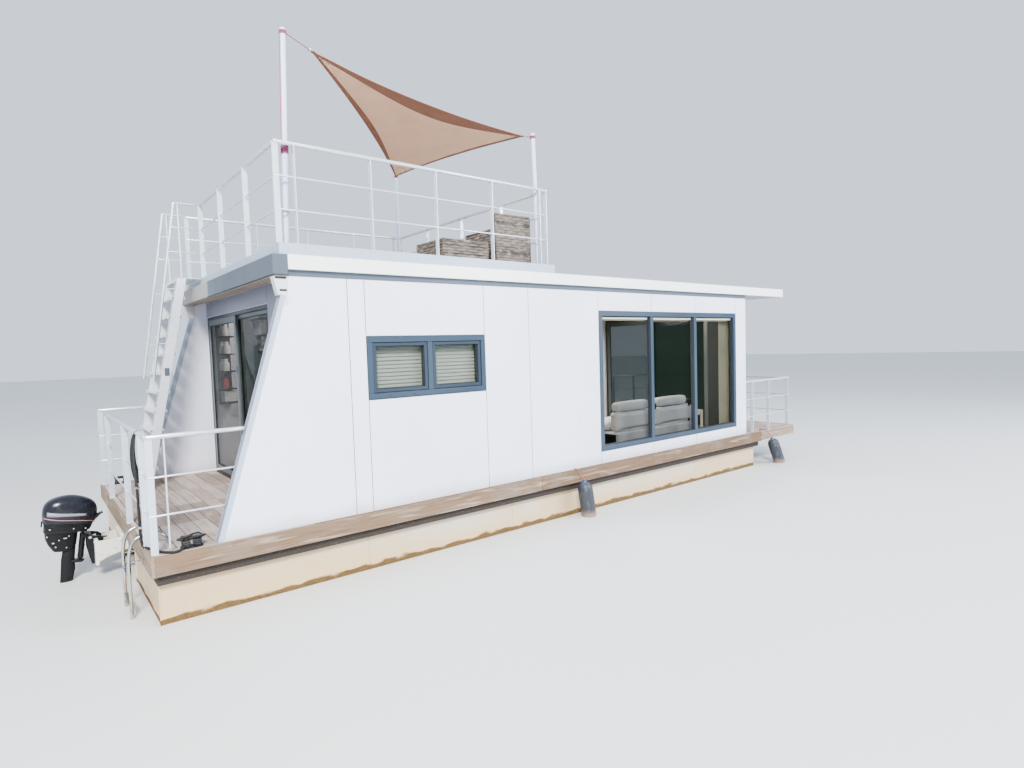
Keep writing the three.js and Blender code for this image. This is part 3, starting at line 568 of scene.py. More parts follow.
class Kit:
    """Collects the solids of one piece, in the boat's own frame."""

    def __init__(self, seed=1):
        self.points, self.faces, self.tones = [], [], []
        self.draw = random.Random(seed)

    def add(self, points, faces, tone=None):
        start = len(self.points)
        self.points += points
        self.faces += [[start + i for i in face] for face in faces]
        self.tones += [self.draw.random() if tone is None else tone] * len(points)
        return self

    def block(self, x, y, z, soft=0.0015, tone=None):
        """A box between two x, two y and two z, counted as boat() counts."""
        low, high = boat(x[0], y[0], z[0]), boat(x[1], y[1], z[1])
        middle, half = (low + high) / 2, (high - low) / 2
        ease = min(soft, *[h * 0.9 for h in half])
        return self.add([middle + p for p in block_points(half, ease)], BLOCK_FACES, tone)

    def beam(self, start, end, width, thick, across, soft=0.0015, tone=None):
        """A straight bar: `width` along the direction `across`, `thick` the other way."""
        along = end - start
        ahead = along.normalized()
        side = (Vector(across) - ahead * ahead.dot(Vector(across))).normalized()
        turn = Matrix((ahead, side, ahead.cross(side))).transposed()
        half = (along.length / 2, width / 2, thick / 2)
        middle = (start + end) / 2
        ease = min(soft, *[h * 0.9 for h in half])
        return self.add([middle + turn @ p for p in block_points(half, ease)], BLOCK_FACES, tone)

    def prism(self, outline, depth, place, soft=0.0):
        """A flat outline in `place`'s x and y, `depth` thick along its z; the rims are eased inward."""
        area = sum(a[0] * b[1] - b[0] * a[1] for a, b in zip(outline, outline[1:] + outline[:1]))
        ring = [Vector((*p[:2], 0)) for p in (outline if area > 0 else outline[::-1])]
        count = len(ring)
        inner = []
        for i, point in enumerate(ring):
            one, two = (point - ring[i - 1]).normalized(), (ring[(i + 1) % count] - point).normalized()
            inward = Vector((-one.y - two.y, one.x + two.x, 0))
            inner.append(point + inward * (soft / max(1 + one.dot(two), 0.35)))
        levels = [(ring, 0), (ring, depth)]
        if soft:
            levels = [(inner, 0), (ring, soft), (ring, depth - soft), (inner, depth)]
        points = [place @ (p + Vector((0, 0, z))) for loop, z in levels for p in loop]
        faces = [list(reversed(range(count))), [i + count * (len(levels) - 1) for i in range(count)]]
        for level in range(len(levels) - 1):
            faces += band_faces(level * count, (level + 1) * count, count)
        if place.to_3x3().determinant() < 0:
            faces = [face[::-1] for face in faces]
        return self.add(points, faces)

    def tube(self, path, radius, sides=16, closed=False, tone=None):
        """A round bar along a path; the radius may change from point to point."""
        path = [Vector(p) for p in path]
        radii = radius if isinstance(radius, (list, tuple)) else [radius] * len(path)
        points = []
        for (point, side, up), r in zip(frames_along(path, closed), radii):
            for angle in round_steps(sides):
                points.append(point + side * (r * math.cos(angle)) + up * (r * math.sin(angle)))
        rings = len(path)
        faces = []
        for ring in range(rings if closed else rings - 1):
            faces += band_faces(ring * sides, (ring + 1) % rings * sides, sides)
        if not closed:
            faces += [list(reversed(range(sides))), [(rings - 1) * sides + i for i in range(sides)]]
        return self.add(points, faces, tone)

    def turned(self, profile, base, direction, sides=24):
        """A lathe form: profile is (radius, height) from bottom to top, both ends on the axis."""
        ahead = Vector(direction).normalized()
        side = ahead.orthogonal().normalized()
        up = ahead.cross(side)
        rims = [(r, h) for r, h in profile if r > 1e-6]
        points = [base + ahead * profile[0][1], base + ahead * profile[-1][1]]
        for r, h in rims:
            for angle in round_steps(sides):
                points.append(base + ahead * h + (side * math.cos(angle) + up * math.sin(angle)) * r)
        faces = []
        for i in range(sides):
            j = (i + 1) % sides
            faces.append([0, 2 + j, 2 + i])
            for ring in range(len(rims) - 1):
                a, b = 2 + ring * sides, 2 + (ring + 1) * sides
                faces.append([a + i, a + j, b + j, b + i])
            last = 2 + (len(rims) - 1) * sides
            faces.append([1, last + i, last + j])
        return self.add(points, faces)

    def disc(self, base, direction, radius, height, sides=12):
        """A screw or bolt head."""
        return self.turned([(0, 0), (radius, 0), (radius, height * 0.6), (radius * 0.7, height), (0, height)],
                           base, direction, sides)

    def mirrored(self):
        """The same solids on the other side of the boat."""
        other = Kit()
        middle = 2 * (STARBOARD + BEAM / 2)
        other.points = [Vector((p.x, middle - p.y, p.z)) for p in self.points]
        other.faces = [face[::-1] for face in self.faces]
        other.tones = list(self.tones)
        return other


def make(name, kit, finish, slot, body="root", replaces=(), sharp=32, ease=0.0, divide=0):
    """One piece from a kit: its mesh, finish and body; the material slot is not used."""
    mesh = bpy.data.meshes.new(name)
    mesh.from_pydata([tuple(p) for p in kit.points], [], kit.faces)
    tone = mesh.attributes.new("tone", "FLOAT", "POINT")
    tone.data.foreach_set("value", kit.tones)
    mesh.materials.append(finish)
    mesh.shade_smooth()
    mesh.set_sharp_from_angle(angle=math.radians(sharp))
    piece = bpy.data.objects.new(name, mesh)
    bpy.context.scene.collection.objects.link(piece)
    if ease:
        rim = piece.modifiers.new("eased_edges", "BEVEL")
        rim.width, rim.segments, rim.limit_method, rim.angle_limit = ease, 2, "ANGLE", math.radians(40)
        rim.harden_normals = True
    if divide:
        soft = piece.modifiers.new("soft_form", "SUBSURF")
        soft.levels = soft.render_levels = divide
    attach(piece, body)
    if replaces:
        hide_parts(*([replaces] if isinstance(replaces, str) else replaces))
    return piece


def make_both(name, kit, finish, slot, replaces="", **more):
    """The piece to starboard and its mirror image to port."""
    for side, solids in (("starboard", kit), ("port", kit.mirrored())):
        make(f"{name}_{side}", solids, finish, slot, replaces=[f"{replaces}_{side}"] if replaces else (), **more)


def dress(finish, *nodes):
    """Gives CAD nodes that are shown as they are their finish."""
    for node in nodes:
        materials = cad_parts[node].data.materials
        materials.clear()
        materials.append(finish)
        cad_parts[node].data.shade_smooth()
        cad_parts[node].data.set_sharp_from_angle(angle=math.radians(30))


print("solids kit ready:", len(BLOCK_FACES), "faces a block")

# %% [markdown]
# ## Hulls
# Each pontoon is a box of steel plates. Plates meet in welds: a low bead stands across every joint, about every
# two metres. The CAD boxes are right as they are, so they only get the enamel, and the beads are added on them.

# %% Hulls and platform
ENAMEL = hull_enamel()
DARK_STEEL = painted_iron("tarred_steel_plate", "#3A332E", "#6E6155", 0.6)
dress(ENAMEL, "pontoon_starboard", "pontoon_port")
dress(DARK_STEEL, "platform")

hull_x, hull_y, hull_z = node_box("pontoon_starboard")
WELD_PITCH = 1.92
welds = Kit(3)
weld_x = hull_x[0] + WELD_PITCH
while weld_x < hull_x[1] - 1.0:
    for y, side in ((hull_y[0], -1), (hull_y[1], 1)):
        welds.tube([boat(weld_x, y, hull_z[0] + 0.02), boat(weld_x, y, hull_z[1] - 0.01)], 0.006, 8)
    weld_x += WELD_PITCH
for y in hull_y:
    welds.tube([boat(hull_x[0], y, hull_z[0] + 0.02), boat(hull_x[0], y, hull_z[1])], 0.007, 8)
make_both("hull_welds", welds, ENAMEL, "hull_paint")
print("weld beads", len(welds.faces), "faces a side")

# %% [markdown]
# ## Decks
# A deck is many boards with a few millimetres between them, and the dark gaps are what the eye reads first. So
# the flat CAD slabs are replaced by rows of separate boards, each with its own tone, over a dark membrane.
# The boards run across the boat and are butted in line; a wider board frames them along the deck's edge.

# %% Deck and edge boards
GREY_PINE = dict(base="#AD9D94", dark="#77665C", pale="#CBC0B9")
DECKING = weathered_timber("greyed_pine_decking", "y", **GREY_PINE)
RIM_BOARD = weathered_timber("ribbed_pine_rim_board", "x", ribbed=True, **GREY_PINE)
EDGE_TONES = dict(base="#846E59", dark="#5F4A3A", pale="#C9BAAA")
EDGE_BOARD = weathered_timber("greyed_larch_edge_board", "x", **EDGE_TONES)
STERN_BOARD = weathered_timber("greyed_larch_stern_board", "y", **EDGE_TONES)
MEMBRANE = moulded_plastic("black_bitumen_membrane", "#2B2624", 0.85)
BOARD, BOARD_PITCH, BOARD_LENGTH, SEAM = 0.028, 0.145, 0.86, 0.008
MAIN_END, BOW_END, BOW_INSET, EDGE_LOW = 9.65, 10.91, 0.045, 0.445


def lay_boards(kit, x, y, first, top=DECK, thick=BOARD - 0.004):
    """Boards across the boat from the first seam on, butted in line every BOARD_LENGTH."""
    seam_x, here = first, x[0]
    while here < x[1] - 0.01:
        there = min(seam_x, x[1])
        seam_y = y[0]
        while seam_y < y[1] - 0.01:
            end = min(seam_y + BOARD_LENGTH, y[1])
            kit.block((here, there - SEAM), (seam_y, end - 0.0025), (top - thick, top), 0.002)
            seam_y = end
        here, seam_x = there, there + BOARD_PITCH
    return kit


far = BEAM - BOARD
rim = 0.168
aft_boards = lay_boards(Kit(5), (0.0295, 1.396), (rim + SEAM, BEAM - rim - SEAM), 0.085)
make("aft_deck_boards", aft_boards, DECKING, "deck_boards", replaces="aft_deck")
rims = Kit(6)
for y in ((BOARD + 0.0015, rim), (BEAM - rim, far - 0.0015)):
    for x in ((0.0295, 1.396), (9.162, 9.645), (9.65, 10.88)):
        rims.block(x, y, (DECK - 0.024, DECK), 0.002)
make("rim_boards", rims, RIM_BOARD, "deck_boards")
bow_boards = lay_boards(Kit(7), (9.162, BOW_END - BOARD - 0.002), (rim + SEAM, BEAM - rim - SEAM), 9.3)
make("bow_deck_boards", bow_boards, DECKING, "deck_boards", replaces="bow_deck")
under = Kit().block((0.03, 1.39), (0.03, BEAM - 0.03), (DECK - 0.0275, DECK - 0.0245))
under.block((9.17, 10.88), (0.075, BEAM - 0.075), (DECK - 0.0275, DECK - 0.0245))
make("deck_membrane", under, MEMBRANE, "deck_boards")

edges = Kit(8)
for x in ((BOARD, 4.318), (4.322, 8.298), (8.302, MAIN_END)):
    edges.block(x, (0, BOARD), (EDGE_LOW, DECK), 0.003)
    edges.block(x, (far, BEAM), (EDGE_LOW, DECK), 0.003)
make("edge_boards", edges, EDGE_BOARD, "edge_timber", replaces="deck_edge")
stern = Kit(9)
for y in ((0, 1.99), (1.994, BEAM)):
    stern.block((0, BOARD), y, (EDGE_LOW, DECK), 0.003)
make("stern_edge_boards", stern, STERN_BOARD, "edge_timber")
bow_sides = Kit(10)
for y in (BOW_INSET, BEAM - BOW_INSET - BOARD):
    bow_sides.block((MAIN_END + 0.001, BOW_END - BOARD), (y, y + BOARD), (EDGE_LOW, DECK), 0.003)
make("bow_edge_boards", bow_sides, EDGE_BOARD, "edge_timber")
bow_front = Kit(11).block((BOW_END - BOARD, BOW_END), (BOW_INSET, 1.99), (EDGE_LOW, DECK), 0.003)
bow_front.block((BOW_END - BOARD, BOW_END), (1.994, BEAM - BOW_INSET), (EDGE_LOW, DECK), 0.003)
make("bow_front_boards", bow_front, STERN_BOARD, "edge_timber")
print("boards on the aft deck", len(aft_boards.faces) // len(BLOCK_FACES))

# %% [markdown]
# ## Cabin walls
# The cladding panels are 4 mm proud of the wall behind, with 7 mm open joints. A joint modelled this way
# throws its own thin shadow, which a painted line can't do from every angle. The wing's raked aft edge is
# capped with a folded strip of blue-grey sheet; the cap's aft face is a darker grey, which is painted shade.


# %% Wall panels
def upright(y):
    """Takes an outline in x and z; its thickness goes to port."""
    return Matrix.Translation(boat(0, y, 0)) @ Matrix(((1, 0, 0, 0), (0, 0, 1, 0), (0, 1, 0, 0), (0, 0, 0, 1)))


def athwart(x):
    """Takes an outline in y and z; its thickness goes to the bow."""
    return Matrix.Translation(boat(x, 0, 0)) @ Matrix(((0, 0, 1, 0), (1, 0, 0, 0), (0, 1, 0, 0), (0, 0, 0, 1)))


def level(z):
    """Takes an outline in x and y; its thickness goes up."""
    return Matrix.Translation(boat(0, 0, z))


def rectangle(a0, a1, b0, b1):
    return [(a0, b0), (a1, b0), (a1, b1), (a0, b1)]


WALL_WHITE = wall_panel()
GASKET_AND_SHADE_BLACK = moulded_plastic("black_rubber_gasket_and_painted_shade", "#33373B", 0.6)
BLUE_SHEET = coated_sheet("blue_grey_powder_coated_sheet", "#AFBDCE", "#8792A0", 0.4, 0.35)
# The slate sheet is a deeper grey than its own colour: painted shade on the aft beam's stern face and on the strip
# under the fascia.
SHADED_SLATE_SHEET = coated_sheet("slate_grey_folded_sheet", "#59636F", "#48505A", 0.45, 0.3)
# The wing cap's aft face is a darker grey than its side flanges: painted shade on the face turned away from the
# light.
WING_SHADE_SHEET = coated_sheet("grey_folded_wing_edge_sheet", "#8E94A6", "#747A8A", 0.45, 0.3)
dress(WALL_WHITE, "wall_starboard", "wall_port", "wall_aft", "wall_bow")

WALL_FACE, WALL_LOW, WALL_TOP, WALL_END = 0.037, DECK + 0.004, 2.992, 9.184
PANEL, JOINT, BRACKET_LOW = 0.004, 0.0035, 2.82
SMALL = dict(x=(2.017, 3.511), z=(1.773, 2.423), bars=(2.764,))
BIG = dict(x=(5.454, 8.862), z=(0.791, 2.731), bars=(6.60, 7.69))


def wing_x(z):
    """Where the raked aft edge of the side wall is at a height."""
    return 0.524 + (z - DECK) * 0.3


panels, joints = Kit(12), Kit()
wing_step, wing_top, first_joint = BRACKET_LOW - 0.1, WALL_TOP - 0.006, 1.833 - JOINT
wing = [(wing_x(WALL_LOW) + 0.012, WALL_LOW), (first_joint, WALL_LOW), (first_joint, wing_top), (1.25, wing_top),
        (1.247, wing_step), (wing_x(wing_step) + 0.012, wing_step)]
panels.prism(wing, PANEL, upright(WALL_FACE - PANEL), 0.001)
for x0, x1, spans in (
    (1.833, 2.017, [(WALL_LOW, WALL_TOP)]),
    (2.017, 3.511, [(WALL_LOW, SMALL["z"][0] - 0.006), (SMALL["z"][1] + 0.006, WALL_TOP)]),
    (3.511, 4.195, [(WALL_LOW, WALL_TOP)]),
    (4.195, 5.454, [(WALL_LOW, WALL_TOP)]),
    (5.454, 6.60, [(WALL_LOW, BIG["z"][0] - 0.006), (BIG["z"][1] + 0.006, WALL_TOP)]),
    (6.60, 7.69, [(WALL_LOW, BIG["z"][0] - 0.006), (BIG["z"][1] + 0.006, WALL_TOP)]),
    (7.69, 8.862, [(WALL_LOW, BIG["z"][0] - 0.006), (BIG["z"][1] + 0.006, WALL_TOP)]),
    (8.862, WALL_END, [(WALL_LOW, WALL_TOP)]),
):
    for span in spans:
        panels.prism(rectangle(x0 + JOINT, x1 - JOINT, *span), PANEL, upright(WALL_FACE - PANEL), 0.001)
        joints.block((x0 - JOINT, x0 + JOINT), (WALL_FACE - 0.001, WALL_FACE - 0.0002), span)
make_both("wall_cladding", panels, WALL_WHITE, "wall_panel")
make_both("cladding_joints", joints, GASKET_AND_SHADE_BLACK, "window_frame")
# A dark slate strip under the fascia, above the cladding, is painted shadow: the band of shade under the fascia's
# overhang.
strip_y, strip_z = (WALL_FACE - 0.006, WALL_FACE - 0.0005), (WALL_TOP + 0.004, 3.0548)
under_fascia = Kit(14).block((1.252, WALL_END), strip_y, strip_z, 0.001)
make_both("under_fascia_painted_shadow_strip", under_fascia, SHADED_SLATE_SHEET, "grey_sheet_metal")

wing_cap = Kit(13)
wing_flange = Kit(15)
low_end, high_end = (boat(wing_x(z), WALL_FACE + 0.04, z) for z in (WALL_LOW, BRACKET_LOW - 0.006))
wing_cap.beam(low_end, high_end, 0.088, 0.006, (0, 1, 0))
for y in (WALL_FACE - 0.0045, WALL_FACE + 0.0845):
    shift = Vector((0.021, y - WALL_FACE - 0.04, 0))
    wing_flange.beam(low_end + shift, high_end + shift, 0.004, 0.048, (0, 1, 0), 0.001)
make_both("wing_edge_cap", wing_cap, WING_SHADE_SHEET, "grey_sheet_metal")
make_both("wing_edge_flange", wing_flange, BLUE_SHEET, "grey_sheet_metal")
print("wall panels", len(panels.faces) // 14, "a side")

# %% [markdown]
# ## Windows
# A window here is three nested rectangles: the blue-grey outer frame screwed to the wall, a sash set a little
# deeper, and a black gasket that holds the pane. Each rectangle is four bars, so one function draws all three.
# Dark seals between them make the frame read as an assembly, not as a block.

# %% Windows
WINDOW_BLUE = coated_sheet("slate_blue_powder_coated_window_frame", "#384757", "#586876", 0.34, 0.25)
SASH_BLUE = coated_sheet("dark_slate_powder_coated_sash", "#323E4A", "#556370", 0.3, 0.2)
# The starboard glass's dark green colour is partly painted reflection of trees, over a faint tint of its own.
CLEAR_PANE = window_pane("window_glass_with_painted_green_reflection", "#0C160D", 0.3)
# The port glass is opaque dark green: painted shade and reflection for what shows of it through the cabin.
OPAQUE_PAINTED_PANE = window_pane("opaque_window_glass_painted_dark_reflection", "#283229", 1.0)
dress(CLEAR_PANE, "window_small_glass_starboard", "window_big_glass_starboard")
dress(OPAQUE_PAINTED_PANE, "window_small_glass_port", "window_big_glass_port")


def ring_of_bars(kit, x, z, y, bar, soft=0.002):
    """Four bars round a rectangle, `bar` wide, between two y."""
    kit.block(x, y, (z[1] - bar, z[1]), soft)
    kit.block(x, y, (z[0], z[0] + bar), soft)
    kit.block((x[0], x[0] + bar), y, (z[0] + bar, z[1] - bar), soft)
    kit.block((x[1] - bar, x[1]), y, (z[0] + bar, z[1] - bar), soft)


def window(name, spec, outer_bar, sash_bar, sashed):
    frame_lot, sash, gasket = Kit(20), Kit(21), Kit()
    x, z = spec["x"], spec["z"]
    ring_of_bars(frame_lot, (x[0] + 0.001, x[1] - 0.001), (z[0] + 0.001, z[1] - 0.001), (0.026, 0.0958), outer_bar)
    half = outer_bar / 2
    for bar in spec["bars"]:
        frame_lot.block((bar - half, bar + half), (0.03, 0.0958), (z[0] + outer_bar, z[1] - outer_bar), 0.002)
    ring_of_bars(gasket, (x[0] - 0.003, x[1] + 0.003), (z[0] - 0.003, z[1] + 0.003), (0.0335, 0.0365), 0.004)
    stops = [x[0] + outer_bar, *(b + s * half for b in spec["bars"] for s in (-1, 1)), x[1] - outer_bar]
    for left, right in zip(stops[::2], stops[1::2]):
        inside = (z[0] + outer_bar, z[1] - outer_bar)
        if sashed:
            ring_of_bars(sash, (left + 0.005, right - 0.005), (inside[0] + 0.005, inside[1] - 0.005),
                         (0.036, 0.0958), sash_bar)
            left, right = left + sash_bar, right - sash_bar
            inside = (inside[0] + sash_bar, inside[1] - sash_bar)
        ring_of_bars(gasket, (left, right), inside, (0.055, 0.0958), 0.012, 0.001)
        # A drip bar and its two drain slots along the bottom of each pane
        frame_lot.block((left - 0.02, right + 0.02), (0.022, 0.03), (z[0] + 0.008, z[0] + 0.016), 0.001)
        for share in (0.25, 0.75):
            slot_x = left + (right - left) * share
            gasket.block((slot_x - 0.02, slot_x + 0.02), (0.0252, 0.0262), (z[0] + 0.03, z[0] + 0.036), 0.0)
    make_both(f"{name}_frame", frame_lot, WINDOW_BLUE, "window_frame", replaces=f"{name}_frame")
    make_both(f"{name}_seal", gasket, GASKET_AND_SHADE_BLACK, "window_frame")
    if sashed:
        make_both(f"{name}_sash", sash, SASH_BLUE, "window_frame")
    return stops


small_stops = window("window_small", SMALL, 0.062, 0.036, True)
big_stops = window("window_big", BIG, 0.068, 0.0, False)
print("small window stops", [round(s, 3) for s in small_stops])

# %% [markdown]
# Behind the small window hang two slatted blinds. A slat is a thin curved strip of lacquered aluminium, tipped
# so that it overlaps the next; twelve of them make each blind. The big window's blinds are rolled up, so only a
# pale box shows along the top of each pane, and a pale strip outside the glass there is painted reflection.

# %% Blinds
SLAT = moulded_plastic("cream_lacquered_slat", "#EEF8F0", 0.5, "#C5CDB8")
# The blind box is brighter than its own cream: painted sunlight on it behind the glass; the same finish does the
# painted reflection strip outside the pane.
CREAM_BOX_AND_REFLECTION = moulded_plastic("cream_blind_box_and_painted_reflection", "#FFFBE6", 0.45, "#E4DFC6")
BLIND_Y, SLAT_PITCH, SLAT_WIDTH, SLAT_THICK = 0.135, 0.041, 0.046, 0.0008


def slatted_blind(kit, x, z):
    """Slats from the top down, each a shallow curve seen from its end."""
    height = z[1]
    while height > z[0] + 0.02:
        tip = math.radians(62 + kit.draw.uniform(-3, 3))
        c, s = math.cos(tip), math.sin(tip)
        outline = []
        for t in range(7):
            along = (t / 6 - 0.5) * SLAT_WIDTH
            lift = 0.004 * (1 - (2 * t / 6 - 1) ** 2)
            outline.append((along * c - lift * s, along * s + lift * c))
        for t in range(6, -1, -1):
            outline.append((outline[t][0] + SLAT_THICK * s, outline[t][1] - SLAT_THICK * c))
        sag = kit.draw.uniform(-0.001, 0.001)
        place = athwart(x[0]) @ Matrix.Translation((BLIND_Y, height - SLAT_PITCH / 2 + sag, 0))
        kit.prism(outline, x[1] - x[0], place)
        height -= SLAT_PITCH
    for cord_x in (x[0] + 0.08, x[1] - 0.08):
        kit.tube([boat(cord_x, BLIND_Y - 0.012, z[0]), boat(cord_x, BLIND_Y - 0.012, z[1])], 0.0012, 6)
    kit.block(x, (BLIND_Y - 0.02, BLIND_Y + 0.02), (z[1], z[1] + 0.03))


blinds = Kit(30)
for left, right in zip(small_stops[::2], small_stops[1::2]):
    slatted_blind(blinds, (left + 0.02, right - 0.03), (SMALL["z"][0] + 0.08, SMALL["z"][1] - 0.09))
make_both("slatted_blinds", blinds, SLAT, "sofa_fabric")
rolled = Kit(31)
for left, right in zip(big_stops[::2], big_stops[1::2]):
    rolled.block((left - 0.01, right + 0.01), (0.112, 0.165), (2.612, 2.656), 0.006)
    rolled.block((left + 0.02, right - 0.02), (0.132, 0.142), (2.602, 2.611), 0.003)
    # A bright cream strip outside the glass along the top of the pane is painted reflection of the pale roof edge
    rolled.block((left + 0.012, right - 0.012), (0.078, 0.0955), (2.622, 2.65), 0.002)
make_both("rolled_blind_boxes_and_reflection_strip", rolled, CREAM_BOX_AND_REFLECTION, "sofa_fabric")

# %% [markdown]
# ## Roof
# White boards hide the roof's edge on three sides. Over the aft deck a folded slate-grey band takes their place,
# its grey deepened as painted shade, bare and paler at its port end, with a tan soffit board below. The terrace
# stands on the roof on a frame of blue-grey sheet.

# %% Roof edge, aft beam and terrace frame
FASCIA_WHITE = coated_sheet("white_coated_fascia_board", "#FBFCFB", "#B4B8BB", 0.36, 0.25)
ROOF_FELT = coated_sheet("pale_roof_membrane", "#C9CBCB", "#8F9290", 0.75, 0.1)
BEAM_END = coated_sheet("bare_grey_beige_sheet", "#A5A29F", "#85817E", 0.5, 0.3)
SOFFIT = weathered_timber("varnished_soffit_board", "y", "#9C9084", "#776B5F", "#B5A998")
dress(ROOF_FELT, "roof")
ROOF_LOW, ROOF_TOP, ROOF_AFT, ROOF_BOW, OUT = 3.055, 3.19, 1.25, 10.427, 0.003

fascia = Kit(32)
for x in ((ROOF_AFT + 0.002, 4.3), (4.303, 7.37), (7.373, ROOF_BOW)):
    for y in ((-OUT, 0.025), (BEAM - 0.025, BEAM + OUT)):
        fascia.block(x, y, (ROOF_LOW, ROOF_TOP), 0.003)
fascia.block((ROOF_BOW - 0.028, ROOF_BOW), (0.026, BEAM - 0.026), (ROOF_LOW, ROOF_TOP), 0.003)
for y in ((-OUT, 0.06), (BEAM - 0.06, BEAM + OUT)):
    fascia.block((ROOF_AFT + 0.002, ROOF_BOW), y, (ROOF_TOP - 0.0005, ROOF_TOP + 0.003), 0.001)
make("roof_fascia_boards", fascia, FASCIA_WHITE, "roof_fascia", replaces="roof_fascia")

beam = Kit(33)
for y in ((0.0, 2.098), (2.102, 2.478)):
    beam.block((1.11, 1.249), y, (3.004, 3.19), 0.003)
make("aft_beam_band", beam, SHADED_SLATE_SHEET, "grey_sheet_metal", replaces="roof_aft_beam")
beam_end = Kit(38).block((1.1095, 1.249), (2.482, BEAM), (3.004, 3.19), 0.003)
make("aft_beam_end", beam_end, BEAM_END, "grey_sheet_metal")
soffit = Kit(34).block((1.13, 1.245), (0.02, BEAM - 0.02), (2.99, 3.003), 0.002)
soffit.block((1.25, 1.397), (0.118, BEAM - 0.118), (3.035, 3.054), 0.002)
make("soffit_boards", soffit, SOFFIT, "edge_timber")

terrace_x, terrace_y, terrace_z = node_box("terrace")
frame_bar = 0.09
terrace = Kit(35)
for y in ((terrace_y[0], terrace_y[0] + frame_bar), (terrace_y[1] - frame_bar, terrace_y[1])):
    terrace.block((terrace_x[0] + frame_bar, terrace_x[1] - frame_bar), y, (ROOF_TOP + 0.001, terrace_z[1]), 0.003)
for x in ((terrace_x[0], terrace_x[0] + frame_bar), (terrace_x[1] - frame_bar, terrace_x[1])):
    terrace.block(x, terrace_y, (ROOF_TOP + 0.001, terrace_z[1]), 0.003)
make("terrace_frame", terrace, BLUE_SHEET, "grey_sheet_metal", replaces="terrace")
terrace_boards = lay_boards(
    Kit(36),
    (terrace_x[0] + frame_bar + 0.003, terrace_x[1] - frame_bar - 0.003),
    (terrace_y[0] + frame_bar + 0.003, terrace_y[1] - frame_bar - 0.003),
    terrace_x[0] + 0.2,
    terrace_z[1] - 0.001,
)
make("terrace_boards", terrace_boards, DECKING, "deck_boards")
bearers = Kit(37)
for y in (0.5, 1.0, 1.5, 2.0, 2.5, 3.0, 3.5):
    bearers.block((terrace_x[0] + 0.1, terrace_x[1] - 0.1), (y - 0.03, y + 0.03), (ROOF_TOP + 0.001, 3.273))
make("terrace_bearers", bearers, MEMBRANE, "deck_boards")
print("terrace boards", len(terrace_boards.faces) // len(BLOCK_FACES))

# %% [markdown]
# ## Railings
# The railings are welded aluminium: flat-bar posts set across the rail, a thick round handrail and two thin
# ones. Where a thin bar passes a post there is a small weld bead, and every post stands on a flange plate with
# two bolts. Each rail is one long tube with domed ends; a plain cylinder would end in a sharp false edge.

# %% Railings
RAIL = drawn_aluminium("weathered_aluminium_tube", "#E2E6EC", 0.36, 0.6)
POST = drawn_aluminium("pale_anodised_flat_bar", "#D6DFEA", 0.42, 0.35)
BLADE_WIDE, BLADE_THICK, RAIL_TOP, RAIL_MID = 0.058, 0.01, 0.02, 0.009
BEAD = 0.0022
DOME = ((0.35, 0.0), (0.78, 0.25), (1, 0.65))  # share of the radius, and how far in, also in radii


def rail_tube(kit, start, end, radius):
    """A straight round rail with domed ends."""
    ahead = (end - start).normalized()
    path = [start + ahead * radius * inward for _, inward in DOME]
    path += [end - ahead * radius * inward for _, inward in DOME[::-1]]
    kit.tube(path, [radius * share for share, _ in DOME + DOME[::-1]], 16)


def post(kit, x, y, low, top, along_x, flange=True):
    """A flat-bar post on its bolted flange; along_x says which way its wide face lies."""
    wide, thin = BLADE_WIDE / 2, BLADE_THICK / 2
    half = (wide, thin) if along_x else (thin, wide)
    kit.block((x - half[0], x + half[0]), (y - half[1], y + half[1]), (low, top), 0.002)
    if flange:
        foot = (half[0], half[1] + 0.02) if along_x else (half[0] + 0.02, half[1])
        kit.block((x - foot[0], x + foot[0]), (y - foot[1], y + foot[1]), (low, low + 0.006), 0.001)
        for side in (-1, 1):
            shift = (side * 0.015, side * (thin + 0.011)) if along_x else (side * (thin + 0.011), side * 0.015)
            kit.disc(boat(x + shift[0], y + shift[1], low + 0.006), (0, 0, 1), 0.006, 0.005, 6)


def weld_bead(kit, place, radius, direction):
    """A bead round a bar where it meets a post."""
    ahead = Vector(direction)
    side = ahead.orthogonal().normalized()
    up = ahead.cross(side)
    ring = [place + (side * math.cos(a) + up * math.sin(a)) * radius for a in round_steps(10)]
    kit.tube(ring, BEAD, 6, closed=True)


def railing(name, heights, along, line, ends, posts, low, replaces, corners=()):
    """A straight railing on one line along x or y; a corner post's wide face lies along the rail."""
    rails, stands = Kit(40), Kit(41)
    for row, z in enumerate(heights):
        radius = RAIL_MID if row else RAIL_TOP
        end = ends[1](z) if callable(ends[1]) else ends[1]
        spots = [(ends[0], line), (end, line)] if along == "x" else [(line, ends[0]), (line, end)]
        rail_tube(rails, boat(*spots[0], z), boat(*spots[1], z), radius)
        for a in posts:
            for side in (-1, 1):
                shifted = a + side * (BLADE_THICK / 2 + 0.001)
                spot = boat(shifted, line, z) if along == "x" else boat(line, shifted, z)
                if row:
                    weld_bead(rails, spot, radius, (1, 0, 0) if along == "x" else (0, 1, 0))
    for a in posts:
        x, y = (a, line) if along == "x" else (line, a)
        post(stands, x, y, low, heights[0] - 0.006, along != "x")
    for a in corners:
        x, y = (a, line) if along == "x" else (line, a)
        post(stands, x, y, low, heights[0] - 0.006, along == "x")
    make(f"{name}_bars", rails, RAIL, "rail_aluminium", replaces=replaces)
    make(f"{name}_posts", stands, POST, "rail_aluminium")


